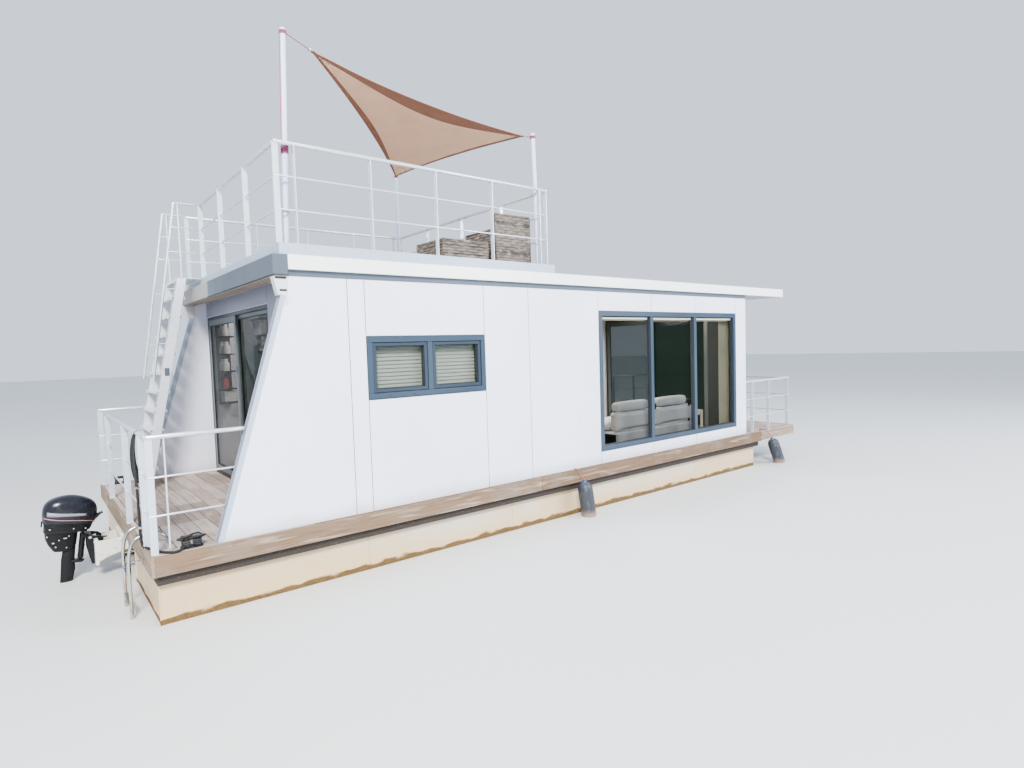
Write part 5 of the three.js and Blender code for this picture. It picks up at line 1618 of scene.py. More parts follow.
make("engine_seams", seams, GASKET_AND_SHADE_BLACK, "motor_paint", "motor")
print("cowl faces", len(cowl.faces))

# %% [markdown]
# Small parts make an engine believable: a latch at the back, a pull grip and tiller stub at the front, bolts and
# anodes that catch the light on the lower cover, and zinc on the plate above the propeller.

# %% Engine fittings
SHINY_BOLT = drawn_aluminium("bright_zinc_plated_bolt", "#DDE1E4", 0.25, 0.9)
fittings, bright = Kit(65), Kit(66)
fittings.beam(at_motor(-0.352, 0, 0.11), at_motor(-0.352, 0, 0.165), 0.05, 0.012, side_m, 0.003)
tiller = ((0.03, -0.05, 0.14), (0.09, -0.055, 0.19), (0.125, -0.06, 0.235), (0.15, -0.06, 0.25))
pull_grip = ((0.085, 0.05, 0.2), (0.115, 0.04, 0.215), (0.115, 0.0, 0.22), (0.085, -0.01, 0.2))
for route, radius, sides in ((tiller, 0.013, 12), (pull_grip, 0.008, 10)):
    fittings.tube(smooth_path([at_motor(*spot) for spot in route], 5), radius, sides)
for x, z in ((-0.30, 0.02), (-0.20, -0.02), (-0.12, 0.02), (-0.22, -0.09), (-0.13, -0.10), (-0.285, 0.10),
             (-0.09, 0.10), (0.01, 0.10)):
    _, back, front, half = level_at(COVER, z)
    reach = (half - 0.004) * (0.93 if z < 0.06 else 0.99)
    for way in (-1, 1):
        bright.disc(at_motor(x, way * reach, z), side_m * way, 0.008, 0.009, 12)
for x, y, z, width, height in ((-0.15, -0.0915, 0.0, 0.03, 0.012), (-0.245, -0.086, -0.045, 0.022, 0.014)):
    bright.beam(at_motor(x - width / 2, y, z), at_motor(x + width / 2, y, z), height, 0.006, up_m, 0.002)
bright.beam(at_motor(-0.215, 0, -0.535), at_motor(-0.165, 0, -0.56), 0.012, 0.05, side_m, 0.004)
make("engine_fittings", fittings, HANDLE_BLACK, "motor_paint", "motor")
make("engine_bolts", bright, SHINY_BOLT, "propeller_paint", "motor")

swivel = Kit(67)
swivel.tube([MOTOR @ Vector((0, -0.084, 0)), MOTOR @ Vector((0, 0.0845, 0))], 0.0235, 24)
swivel.beam(at_motor(0, 0, 0), MOTOR @ Vector((-0.004, 0, 0)), 0.058, 0.04, side_m, 0.006)
swivel.tube([at_motor(0, 0, -0.229), at_motor(0, 0, 0.029)], 0.0265, 24)
for z in (-0.2, -0.1):
    swivel.tube([at_motor(0, 0, z - 0.008), at_motor(0, 0, z + 0.008)], 0.0285, 24)
make("engine_swivel", swivel, MOTOR_SATIN, "motor_paint", "motor_mount", replaces="motor_swivel")

clamp = Kit(68)
board_back, board_front = 0.03, 0.062
clamp_form = [(board_front + 0.05, 0.33), (board_front + 0.004, 0.33), (board_front + 0.004, 0.424),
              (board_back - 0.004, 0.424), (board_back - 0.004, 0.16), (0.0, 0.16), (-0.028, 0.30),
              (-0.028, 0.452), (0.0, 0.46), (board_front + 0.02, 0.438), (board_front + 0.05, 0.41)]
for side in (-0.105, 0.105):
    clamp.prism([(TILT_X + dx, z) for dx, z in clamp_form], 0.028, upright(MIDDLE_Y + side - 0.014), 0.003)
    screw = boat(TILT_X + board_front + 0.05, MIDDLE_Y + side, 0.37)
    clamp.tube([screw - Vector((0.044, 0, 0)), screw + Vector((0.05, 0, 0))], 0.007, 12)
    clamp.tube([screw + Vector((0.047, -0.032, 0.012)), screw + Vector((0.047, 0.032, -0.012))], 0.005, 10)
make("engine_clamp", clamp, MOTOR_SATIN, "motor_paint", replaces="motor_clamp")
tilt_tube = Kit(69)
tilt_tube.tube([boat(TILT_X, MIDDLE_Y + out, TILT_Z) for out in (-0.119, 0.119)], 0.011, 16)
for way in (-1, 1):
    tilt_tube.disc(boat(TILT_X, MIDDLE_Y + way * 0.122, TILT_Z), (0, way, 0), 0.016, 0.01, 6)
make("engine_tilt_tube", tilt_tube, SHINY_BOLT, "stainless_steel")

bracket = Kit(70)
bracket.block((TILT_X + board_back, TILT_X + board_front), (1.80, 2.18), (0.15, 0.42), 0.004)
gusset_x = TILT_X + board_front - 0.002
for y in (1.80, 2.16):
    gusset = [(gusset_x, 0.20), (0.043, 0.27), (0.043, 0.40), (gusset_x, 0.40)]
    bracket.prism(gusset, 0.02, upright(y), 0.002)
bracket.block((-0.03, 0.043), (1.78, 2.20), (0.37, 0.44), 0.004)
for y in (1.84, 1.99, 2.14):
    bracket.disc(boat(TILT_X + board_back, y, 0.39 if y != 1.99 else 0.2), (-1, 0, 0), 0.009, 0.006, 6)
for y in (1.81, 2.17):
    bracket.tube([boat(TILT_X + board_front, y, 0.19), boat(0.04, y, 0.33)], 0.009, 12)
make("engine_bracket", bracket, BRACKET_WHITE, "bracket_paint", replaces="transom_bracket")

# %% [markdown]
# A propeller blade is twisted: steep near the hub, flat at the tip. Each blade here is a fan of sections whose
# pitch angle falls with the radius, three of them round a stepped hub.

# %% Propeller
prop = Kit(71)
prop_middle = STEER - 0.19 - 0.045
HUB_RADIUS, TIP_RADIUS = 0.024, 0.12


def blade(turn):
    """One twisted blade as a closed grid of sections from the hub to the tip."""
    sections, rows = 9, []
    for s in range(sections):
        t = s / (sections - 1)
        radius = HUB_RADIUS + (TIP_RADIUS - HUB_RADIUS) * t
        chord = 0.062 * math.sin(math.pi * (0.28 + 0.66 * t)) + 0.004
        pitch = math.atan(0.05 / radius) * 0.8 + 0.1
        thick = 0.005 * (1 - t) + 0.0014
        ring = []
        for a in round_steps(12):
            along, lift = chord / 2 * math.cos(a), thick / 2 * math.sin(a)
            x = along * math.sin(pitch) + lift * math.cos(pitch)
            y = along * math.cos(pitch) - lift * math.sin(pitch) + 0.014 * t * t
            point = Matrix.Rotation(turn, 3, "X") @ Vector((x, y, radius))
            ring.append(MOTOR @ Vector((prop_middle + point.x, point.y, SHAFT + point.z)))
        rows.append(ring)
    faces = [list(range(12)), [(sections - 1) * 12 + k for k in reversed(range(12))]]
    for s in range(sections - 1):
        a, b = s * 12, (s + 1) * 12
        faces += [[a + (k + 1) % 12, a + k, b + k, b + (k + 1) % 12] for k in range(12)]
    return [p for ring in rows for p in ring], faces


for k in range(3):
    prop.add(*blade(2 * math.pi * k / 3), 0.5)
hub = [(0, -0.085), (0.016, -0.083), (0.022, -0.07), (0.03, -0.055), (0.03, -0.006), (0.027, -0.002), (0, -0.002)]
prop.turned([(r, h + STEER - 0.19) for r, h in hub], shaft_at, ahead_m, 28)
make("engine_propeller", prop, PROP_BRONZE, "propeller_paint", "propeller_shaft", replaces="propeller", sharp=50)
print("propeller", round(2 * TIP_RADIUS, 2), "m across")

# %% [markdown]
# ## Swim ladder, bollards and fenders
# The ladder is one bent stainless tube a side, so its bends are true curves. A fender is a blown vinyl
# bag: two moulded eyes, a few ribs at each shoulder, and a line up to a cleat on the deck edge.

# %% Swim ladder
ladder = Kit(72)
for y in (0.43, 0.79):
    route = [boat(*p) for p in ((0.20, y, DECK + 0.006), (0.196, y, 0.64), (0.17, y, 0.685), (0.115, y, 0.712),
                                (0.04, y, 0.718), (-0.03, y, 0.704), (-0.078, y, 0.66), (-0.10, y, 0.58),
                                (-0.11, y, 0.46), (-0.11, y, 0.1), (-0.11, y, -0.25))]
    ladder.tube(smooth_path(route, 8), 0.015, 16)
    ladder.disc(boat(0.20, y, DECK + 0.001), (0, 0, 1), 0.034, 0.006, 24)
    ladder.tube([boat(-0.10, y, 0.5), boat(-0.002, y, 0.5)], 0.008, 10)
    ladder.disc(boat(-0.008, y, 0.5), (-1, 0, 0), 0.02, 0.006, 12)
for z in (0.38, 0.12, -0.14):
    ladder.tube([boat(-0.11, 0.43, z), boat(-0.11, 0.79, z)], 0.0125, 14)
    ladder.block((-0.128, -0.09), (0.45, 0.77), (z + 0.008, z + 0.014), 0.002)
make("swim_ladder_tubes", ladder, STAINLESS, "stainless_steel", replaces="swim_ladder")

# %% Bollards with their turns of rope
IRON = painted_iron("black_enamelled_cast_iron", "#1E1F20", "#6B4A33", 0.42)
BLACK_ROPE = braided_rope("black_polyester_mooring_rope", "#26282B", "#4A4D52")
bollard, wound = Kit(73), Kit(74)
bollard.prism(oval(0.24, 0.42, 0.045, 4, 24), 0.013, level(DECK + 0.001) @ Matrix.Translation((0, 0.11, 0)), 0.002)
for x in (0.285, 0.375):
    bollard.turned([(0, 0), (0.03, 0), (0.022, 0.015), (0.019, 0.04), (0.019, 0.085), (0, 0.086)],
                   boat(x, 0.11, DECK + 0.012), (0, 0, 1), 20)
horn = [(0.215, 0.088), (0.24, 0.086), (0.27, 0.082), (0.33, 0.082), (0.39, 0.082), (0.42, 0.086), (0.445, 0.088)]
bollard.tube([boat(x, 0.11, DECK + z) for x, z in horn], [0.008, 0.014, 0.0165, 0.017, 0.0165, 0.014, 0.008], 16)
for x in (0.265, 0.395):
    for y in (0.085, 0.135):
        bollard.disc(boat(x, y, DECK + 0.0135), (0, 0, 1), 0.008, 0.005, 6)
make("bollard_iron_starboard", bollard, IRON, "black_iron", replaces="bollard_starboard")
port_bollard = bollard.mirrored()
port_bollard.points = [p - Vector((0.11, 0, 0)) for p in port_bollard.points]
make("bollard_iron_port", port_bollard, IRON, "black_iron", replaces="bollard_port")
rope_r = 0.009
for x in (0.285, 0.375):
    for row in range(3):
        height = DECK + 0.024 + row * rope_r * 1.9
        coil = [boat(x + 0.029 * math.cos(t), 0.11 + 0.029 * math.sin(t), height + 0.002 * math.sin(2 * t + row))
                for t in round_steps(20)]
        wound.tube(coil, rope_r, 10, closed=True)
eight = [boat(0.33 + 0.078 * math.sin(t), 0.11 + 0.032 * math.sin(2 * t), DECK + 0.102 + 0.008 * math.cos(t))
         for t in round_steps(64)]
wound.tube(eight, rope_r, 10, closed=True)
make("bollard_rope_starboard", wound, BLACK_ROPE, "black_iron")
print("bollard turns", 7)

# %% Fenders
VINYL = soft_vinyl()
EYE_BLUE = moulded_plastic("blue_vinyl_fender_eye", "#2E5C93", 0.4, "#5C83AD")
FENDER_ROPE = braided_rope("red_and_purple_fender_line", "#8E3F5C", "#C77B45", 0.005)
CLEAT = drawn_aluminium("cast_aluminium_cleat", "#B9BDBF", 0.45, 0.8)
FENDERS = (
    # name, top, bottom, cleat on the deck
    ("fender_mid", (4.955, -0.106, 0.50), (5.05, -0.106, -0.06), (4.93, 0.07, DECK)),
    ("fender_bow", (9.88, -0.06, 0.48), (10.12, -0.106, -0.06), (9.80, 0.10, DECK)),
)
for name, top, bottom, cleat_place in FENDERS:
    low_end, high_end = boat(*bottom), boat(*top)
    upward = (high_end - low_end).normalized()
    length = (high_end - low_end).length
    bag, eyes, line, cleat = Kit(75), Kit(76), Kit(77), Kit(78)
    radius = 0.0985
    profile = [(0, 0.012), (0.03, 0.012), (0.046, 0.02), (0.07, 0.034), (0.086, 0.052), (0.095, 0.07),
               (0.0975, 0.084)]
    for rib in range(3):
        base = 0.09 + rib * 0.012
        profile += [(radius - 0.003, base), (radius, base + 0.004), (radius - 0.003, base + 0.009)]
    profile += [(radius, 0.14), (radius, length * 0.5), (radius, length - 0.15)]
    for rib in range(3):
        base = length - 0.135 + rib * 0.012
        profile += [(radius - 0.004, base), (radius - 0.001, base + 0.004), (radius - 0.005, base + 0.009)]
    shoulder = ((0.09, 0.086), (0.074, 0.06), (0.052, 0.042), (0.03, 0.034), (0, 0.033))
    profile += [(r, length - from_top) for r, from_top in shoulder]
    bag.turned(profile, low_end, upward, 40)
    for foot, way in ((low_end + upward * 0.014, -1), (high_end - upward * 0.036, 1)):
        eyes.turned([(0, 0), (0.034, 0), (0.03, 0.012), (0.022, 0.02), (0, 0.02)], foot, upward * way, 24)
    across_eye = Vector((0, 1, 0))
    middle = high_end - upward * 0.022
    eye = [middle + (upward * math.sin(t) + across_eye * math.cos(t)) * 0.017 for t in round_steps(16)]
    eyes.tube(eye, 0.007, 10, closed=True)
    cleat_at = boat(*cleat_place)
    path = [middle + upward * 0.012, middle.lerp(boat(cleat_place[0], -0.008, DECK + 0.006), 0.6),
            boat(cleat_place[0], -0.009, DECK + 0.002), boat(cleat_place[0], 0.012, DECK + 0.012),
            cleat_at + Vector((0, 0, 0.022))]
    line.tube(smooth_path(path, 6), 0.006, 10)
    for row in range(3):
        narrow, height = 0.026 * (1 - 0.1 * row), 0.012 + 0.009 * row
        wrap = [Vector((narrow * math.cos(t), 0.016 * math.sin(t), height)) for t in round_steps(16)]
        line.tube([cleat_at + p for p in wrap], 0.006, 8, closed=True)
    knot_at = middle + upward * 0.026
    line.turned([(0, -0.012), (0.011, -0.008), (0.014, 0), (0.011, 0.01), (0, 0.014)], knot_at, upward, 14)
    cleat_foot = Matrix.Translation(cleat_at + Vector((0, 0, 0.001)))
    cleat.prism(oval(-0.03, 0.03, 0.014, 3, 20), 0.005, cleat_foot, 0.001)
    horns = ((-0.062, 0.034), (-0.03, 0.03), (0, 0.029), (0.03, 0.03), (0.062, 0.034))
    cleat.tube([cleat_at + Vector((x, 0, z)) for x, z in horns], [0.004, 0.007, 0.008, 0.007, 0.004], 12)
    for x in (-0.016, 0.016):
        cleat.tube([cleat_at + Vector((x, 0, 0.003)), cleat_at + Vector((x, 0, 0.028))], 0.0065, 10)
    sets = ((bag, VINYL, "fender_vinyl", "bag", name), (eyes, EYE_BLUE, "fender_vinyl", "eyes", ""),
            (line, FENDER_ROPE, "fender_vinyl", "line", ""), (cleat, CLEAT, "stainless_steel", "cleat", ""))
    for kit, finish, slot_name, part, stands_for in sets:
        if name == "fender_mid":
            make_both(f"{name}_{part}", kit, finish, slot_name, replaces=stands_for)
        else:
            node = f"{stands_for}_starboard" if stands_for else ()
            make(f"{name}_{part}_starboard", kit, finish, slot_name, replaces=node)
print("fender length", round(length, 2))

# %% [markdown]
# ## Wicker seats
# Wicker is strands woven in and out of upright stakes, so its surface is a grid of small bumps that swap from row
# to row. Each panel is a fine sheet of points lifted by that rule on both faces. Real strands are about 8 mm
# wide; these are 34 mm, because finer ones would blur at this distance. Grooves get a darker tone, which is painted
# shade.

# %% Wicker weave
wicker = Finish("weathered_grey_brown_rattan_weave", "#7D746C", 0.78)
groove_shade_and_bands = add_node(wicker.tree, "ShaderNodeAttribute", {"attribute_name": "tone"})
# Dark in the grooves and under crossing strands: painted shade; the two dark bands through the same tint are the
# weave's own colour.
wicker.tint(wicker.band(groove_shade_and_bands, 0.8, 0.25, "Fac"), "#3F3934", 0.92)
wicker.tint(wicker.band(wicker.noise(0.16, detail=4), 0.45, 0.7), "#7F7972", 0.5)
wicker.tint(wicker.band(wicker.noise(0.03, detail=5, stretch=(3, 3, 1)), 0.55, 0.7), "#BBB5AC", 0.4)
wicker.bump(wicker.noise(0.004, detail=2, stretch=(4, 4, 1)), 0.0006)
WICKER = wicker.material
STRAND, STAKE, RELIEF = 0.034, 0.085, 0.0065
DARK_BANDS = (0.22, 0.80)


def woven_panel(kit, corner, across, up, thick, bands=DARK_BANDS):
    """A woven panel: a closed sheet over two directions, its thickness going along `thick`."""
    wide, tall = across.length, up.length
    columns, rows = max(4, round(wide / STAKE * 4)), max(4, round(tall / STRAND * 4))
    normal = thick.normalized()
    start = len(kit.points)
    for face in (0, 1):
        for r in range(rows + 1):
            for c in range(columns + 1):
                u, v = wide * c / columns, tall * r / rows
                strand = math.sin(math.pi * ((v / STRAND) % 1.0))
                weave = math.cos(math.pi * (u / STAKE + math.floor(v / STRAND)))
                rim = min(1.0, 8 * min(c, columns - c) / columns, 8 * min(r, rows - r) / rows)
                height = RELIEF * (0.45 + 0.55 * weave) * strand ** 0.6 * rim
                share = v / tall
                dark = any(abs(share - b) < 0.035 for b in bands)
                point = corner + across * (c / columns) + up * (r / rows)
                point += thick if face else Vector()
                point += normal * ((height - RELIEF) * (1 if face else -1))
                kit.points.append(point)
                # The tone darkens into each groove and where a strand dips under a stake: painted shade.
                groove_shade_tone = (0.25 + 0.75 * strand ** 0.7) * (0.78 + 0.22 * weave * (0.5 + 0.5 * rim))
                kit.tones.append(groove_shade_tone * (0.25 if dark else 1.0))
    size = columns + 1
    layer = size * (rows + 1)
    turned = across.cross(up).dot(thick) > 0
    for face in (0, 1):
        kit.faces += grid_faces(rows, columns, start + face * layer, turned != bool(face))
    rim_loop = list(range(size)) + [r * size + columns for r in range(1, rows + 1)]
    rim_loop += [rows * size + c for c in reversed(range(columns))] + [r * size for r in reversed(range(1, rows))]
    for i, j in zip(rim_loop, rim_loop[1:] + rim_loop[:1]):
        quad = [start + i, start + j, start + layer + j, start + layer + i]
        kit.faces.append(quad if turned else quad[::-1])


def woven_box(kit, x, y, z, bands=DARK_BANDS, roll=0.012):
    """Four woven sides and a top, with a round braided border along every upper edge and corner."""
    wide, deep, tall = x[1] - x[0], y[1] - y[0], z[1] - z[0]
    skin = 0.02
    low = boat(x[0], y[0], z[0])
    ahead, aside, rise = Vector((wide, 0, 0)), Vector((0, deep, 0)), Vector((0, 0, tall))
    for corner, along, inward in (
        (low, ahead, (0, skin, 0)), (low + aside, ahead, (0, -skin, 0)),
        (low, aside, (skin, 0, 0)), (low + ahead, aside, (-skin, 0, 0)),
    ):
        woven_panel(kit, corner, along, rise, Vector(inward), bands)
    lid_corner, lid_ahead, lid_aside = Vector((0.004, 0.004, tall - skin)), (wide - 0.008, 0, 0), (0, deep - 0.008, 0)
    woven_panel(kit, low + lid_corner, Vector(lid_ahead), Vector(lid_aside), Vector((0, 0, skin)), ())
    inset = roll * 0.8
    corners = rectangle(x[0] + inset, x[1] - inset, y[0] + inset, y[1] - inset)
    kit.tube([boat(cx, cy, z[1] - inset) for cx, cy in corners], roll, 10, closed=True, tone=0.75)
    for cx, cy in corners:
        kit.tube([boat(cx, cy, z[0] + 0.002), boat(cx, cy, z[1] - inset)], roll * 0.9, 8, tone=0.55)


FLOOR = TERRACE_TOP + 0.004
seat_x, seat_y = (3.86, 4.425), (0.215, 0.86)
chair = Kit(80)
woven_box(chair, seat_x, (seat_y[0], seat_y[0] + 0.07), (FLOOR, FLOOR + 0.606))
arm_y = (seat_y[0] + 0.072, seat_y[1])
for arm_x in ((seat_x[0], seat_x[0] + 0.065), (seat_x[1] - 0.065, seat_x[1])):
    woven_box(chair, arm_x, arm_y, (FLOOR, FLOOR + 0.426), (0.3,))
woven_box(chair, (seat_x[0] + 0.067, seat_x[1] - 0.067), (arm_y[0], arm_y[1] - 0.01), (FLOOR, FLOOR + 0.288), ())
make("wicker_chair_weave", chair, WICKER, "wicker_weave", replaces="wicker_chair", sharp=180)
stool = Kit(81)
woven_box(stool, (3.10, 3.75), (0.215, 0.815), (FLOOR, FLOOR + 0.238), (0.32, 0.7))
make("wicker_stool_weave", stool, WICKER, "wicker_weave", replaces="wicker_stool", sharp=180)
print("wicker faces", len(chair.faces) + len(stool.faces))

# %% [markdown]
# ## Inside the cabin
# What shows through the glass is dim but has to be there: a floor, a pale sofa, a lacquered stool, a curtain. The
# cushions are simulated: a slightly small block is remeshed, blown up by cloth pressure and kept near its
# start, which pulls the sides in between the corners as a stuffed cover does.

# %% Floor, sofa base and stool
LAMINATE = weathered_timber("oak_laminate_cabin_floor", "x", "#A98D6C", "#7A6043", "#C4AB8A")
UPHOLSTERY = woven_cloth("pale_grey_woven_upholstery", "#E4E7E9", "#C9CDD0", 0.008, "XZ", 0.92, 0.25)
LACQUER = moulded_plastic("white_lacquered_mdf", "#EEEFEA", 0.35, "#CFCFC6")
PLANK_LONG, PLANK_WIDE, PLANK_SEAM, FLOOR_END = 1.285, 0.192, 0.0015, 9.157
floor_kit = Kit(82)
floor_y = 0.125
while floor_y < BEAM - 0.13:
    start = 1.40
    plank_y = (floor_y, min(floor_y + PLANK_WIDE, BEAM - 0.12))
    while start < FLOOR_END - 0.002:
        end = min(start + PLANK_LONG, FLOOR_END)
        floor_kit.block((start, end - PLANK_SEAM), plank_y, (DECK - 0.002, DECK + 0.002), 0.001)
        start = end
    floor_y += PLANK_WIDE + PLANK_SEAM
make("cabin_floor_planks", floor_kit, LAMINATE, "cabin_floor")
dress(MEMBRANE, "cabin_floor")

sofa_x, sofa_y = (6.12, 8.08), (0.33, 1.22)
base = Kit(83)
base.block(sofa_x, sofa_y, (DECK + 0.062, DECK + 0.328), 0.02)
for x in (sofa_x[0], sofa_x[1] - 0.09):
    base.block((x, x + 0.09), (sofa_y[0], sofa_y[1] - 0.02), (DECK + 0.062, DECK + 0.325), 0.02)
for x in (6.18, 8.02):
    for y in (0.40, 1.15):
        base.turned([(0, 0), (0.02, 0), (0.024, 0.062), (0, 0.062)], boat(x, y, DECK + 0.001), (0, 0, 1), 16)
make("sofa_base_cover", base, UPHOLSTERY, "sofa_fabric", replaces="sofa_base", ease=0.004)
side_table = Kit(84)
side_table.block((8.332, 8.728), (0.602, 0.998), (DECK + 0.402, DECK + 0.44), 0.003)
for x in (8.35, 8.71):
    for y in (0.62, 0.98):
        side_table.block((x - 0.018, x + 0.018), (y - 0.018, y + 0.018), (DECK + 0.001, DECK + 0.402), 0.002)
    side_table.block((x - 0.012, x + 0.012), (0.64, 0.96), (DECK + 0.36, DECK + 0.40), 0.002)
for y in (0.62, 0.98):
    side_table.block((8.37, 8.69), (y - 0.012, y + 0.012), (DECK + 0.36, DECK + 0.40), 0.002)
make("stool_body", side_table, LACQUER, "stool_lacquer", replaces="stool")
print("floor planks", len(floor_kit.faces) // len(BLOCK_FACES))

# %% Stuffed cushions
CUSHION_VOXEL, CUSHION_STEPS, CUSHION_PRESSURE = 0.014, 20, 4.0


def stuffed(name, x, y, z, swell, replaces=()):
    """A cushion: a shrunk block blown up by cloth pressure, then smoothed."""
    kit = Kit(85)
    inset = swell * 0.75
    kit.block((x[0] + inset, x[1] - inset), (y[0] + inset, y[1] - inset), (z[0] + inset * 0.6, z[1] - inset), 0.03)
    piece = make(name, kit, UPHOLSTERY, "sofa_fabric", replaces=replaces, sharp=180)
    scene = bpy.context.scene
    skin = piece.modifiers.new("even_skin", "REMESH")
    skin.mode, skin.voxel_size, skin.use_smooth_shade = "VOXEL", CUSHION_VOXEL, True
    bake(piece)
    rest = [v.co.copy() for v in piece.data.vertices]
    cloth = piece.modifiers.new("filling", "CLOTH")
    cloth.settings.use_pressure = True
    cloth.settings.uniform_pressure_force = CUSHION_PRESSURE
    cloth.settings.effector_weights.gravity = 0.0
    cloth.point_cache.frame_start, cloth.point_cache.frame_end = 1, CUSHION_STEPS
    for step in range(1, CUSHION_STEPS + 1):
        scene.frame_set(step)
        bpy.context.view_layer.update()
    bake(piece)
    for vertex, start in zip(piece.data.vertices, rest):
        move = vertex.co - start
        if move.length > swell:
            vertex.co = start + move.normalized() * swell
    scene.frame_set(1)
    low = boat(x[0], y[0], z[0])
    high = boat(x[1], y[1], z[1])
    for vertex in piece.data.vertices:
        for axis in range(3):
            vertex.co[axis] = min(max(vertex.co[axis], low[axis]), high[axis])
    piece.data.shade_smooth()
    smooth = piece.modifiers.new("soft_form", "SUBSURF")
    smooth.levels = smooth.render_levels = 1


def bake(piece):
    """Turns what the modifiers make into the piece's own mesh."""
    depsgraph = bpy.context.evaluated_depsgraph_get()
    mesh = bpy.data.meshes.new_from_object(piece.evaluated_get(depsgraph), depsgraph=depsgraph)
    old = piece.data
    piece.modifiers.clear()
    piece.data = mesh
    bpy.data.meshes.remove(old)


seat_z = (DECK + 0.332, DECK + 0.46)
gap = 0.006
seat_ends = [sofa_x[0] + (sofa_x[1] - sofa_x[0]) * k / 2 for k in range(3)]
for k, (left, right) in enumerate(zip(seat_ends, seat_ends[1:])):
    span = (left + gap, right - gap)
    stuffed(f"sofa_seat_cushion_{k}", span, (sofa_y[0] + 0.21, sofa_y[1]), seat_z, 0.018,
            replaces="sofa_cushions" if k == 0 else ())
    stuffed(f"sofa_back_cushion_{k}", span, (sofa_y[0], sofa_y[0] + 0.19), (DECK + 0.335, DECK + 0.64), 0.018)
    head_x, head_y = (span[0] + 0.05, span[1] - 0.16), (sofa_y[0] + 0.01, sofa_y[0] + 0.2)
    stuffed(f"sofa_head_cushion_{k}", head_x, head_y, (DECK + 0.63, DECK + 0.78), 0.016)
straps = Kit(86)
for left, right in zip(seat_ends, seat_ends[1:]):
    for x, depth, low, soft in (((-0.155, -0.115), 0.03, 0.34, 0.004), ((-0.10, -0.02), 0.17, 0.60, 0.012)):
        strap_y = (sofa_y[0] + 0.012, sofa_y[0] + depth)
        straps.block((right + x[0], right + x[1]), strap_y, (DECK + low, DECK + 0.70), soft)
make("sofa_straps", straps, HANDLE_BLACK, "sofa_fabric")
print("cushions", 6)

# %% [markdown]
# A curtain gathered to one side is a sheet with folds. Its hem is a wave, deeper at the foot than at the tape.

# %% Curtain
CURTAIN_CLOTH = woven_cloth("cream_linen_curtain", "#CFCDB6", "#B2B096", 0.006, "XZ", 0.95, 0.2)
curtain_x, curtain_y, curtain_z = (8.56, 8.90), (0.152, 0.188), (DECK + 0.03, 2.738)
FOLDS, COLUMNS, ROWS = 7, 112, 40


def curtain_point(u, v):
    """u runs across the folds, v from the tape down to the hem."""
    phase = 2 * math.pi * FOLDS * u + 0.5 * math.sin(3 * u + 2 * v)
    depth = (curtain_y[1] - curtain_y[0]) / 2 * (0.62 + 0.36 * v)
    x = curtain_x[0] + 0.006 + (curtain_x[1] - curtain_x[0] - 0.012) * u
    x += 0.004 * math.sin(2 * phase) * (1 - v * 0.4)
    y = (curtain_y[0] + curtain_y[1]) / 2 + depth * math.sin(phase)
    return boat(x, y, curtain_z[1] - (curtain_z[1] - curtain_z[0]) * v)


curtain_kit = Kit(87)
for r in range(ROWS + 1):
    for c in range(COLUMNS + 1):
        curtain_kit.points.append(curtain_point(c / COLUMNS, r / ROWS))
        curtain_kit.tones.append(0.5)
curtain_kit.faces += grid_faces(ROWS, COLUMNS)
curtain = make("curtain_cloth", curtain_kit, CURTAIN_CLOTH, "curtain_fabric", replaces="curtain", sharp=180)
middle_row = [curtain_point(c / COLUMNS, 0.5) for c in range(COLUMNS + 1)]
layer = curtain.modifiers.new("cloth_thickness", "SOLIDIFY")
layer.thickness, layer.offset = 0.001, 0
rail_kit = Kit(88)
rail_kit.tube([boat(5.5, 0.17, 2.745), boat(8.95, 0.17, 2.745)], 0.009, 12)
curtain_rail = make("curtain_rail", rail_kit, LACQUER, "stool_lacquer")

# %% [markdown]
# Behind the fixed leaf of the aft door narrow shelves hang on the port wall, with white jars, a red box and a
# pale basket on them. Jars are turned, as a potter would, from one profile.

# %% Shelves behind the aft door
SHELF_WOOD = weathered_timber("dark_stained_shelf_board", "x", "#4A413B", "#2F2925", "#6A5F56")
JAR_WHITE = moulded_plastic("white_glazed_stoneware", "#F1F0EC", 0.25, "#D5D2C9")
RED_TIN = moulded_plastic("red_enamelled_tin", "#C2403F", 0.3, "#8C2F2F")
SHELF_X, SHELF_Y, BOARD_THICK = (1.495, 1.68), (3.52, 3.861), 0.018
SHELF_TOPS = (2.555, 2.305, 2.06, 1.81, 1.62)
shelves, jars, tin, basket = Kit(94), Kit(95), Kit(96), Kit(97)
shelves.block(SHELF_X, (3.848, 3.8625), (SHELF_TOPS[-1] - 0.05, 2.79), 0.002)
for top in SHELF_TOPS:
    shelves.block(SHELF_X, SHELF_Y, (top - BOARD_THICK, top), 0.002)
jar = [(0, 0), (0.048, 0), (0.052, 0.01), (0.05, 0.11), (0.032, 0.135), (0.036, 0.15), (0.036, 0.17), (0, 0.172)]
for top in SHELF_TOPS[:3]:
    for y in (3.60, 3.74):
        jars.turned(jar, boat(1.555 + jars.draw.uniform(-0.01, 0.01), y, top + 0.0005), (0, 0, 1), 28)
tin.block((1.505, 1.565), (3.56, 3.72), (SHELF_TOPS[3] + 0.0005, SHELF_TOPS[3] + 0.14), 0.006)
for step in range(5):
    low = SHELF_TOPS[4] + 0.0005 + 0.03 * step
    basket.block((1.50 - 0.001 * step, 1.66), (3.55, 3.79), (low, low + 0.026), 0.008)
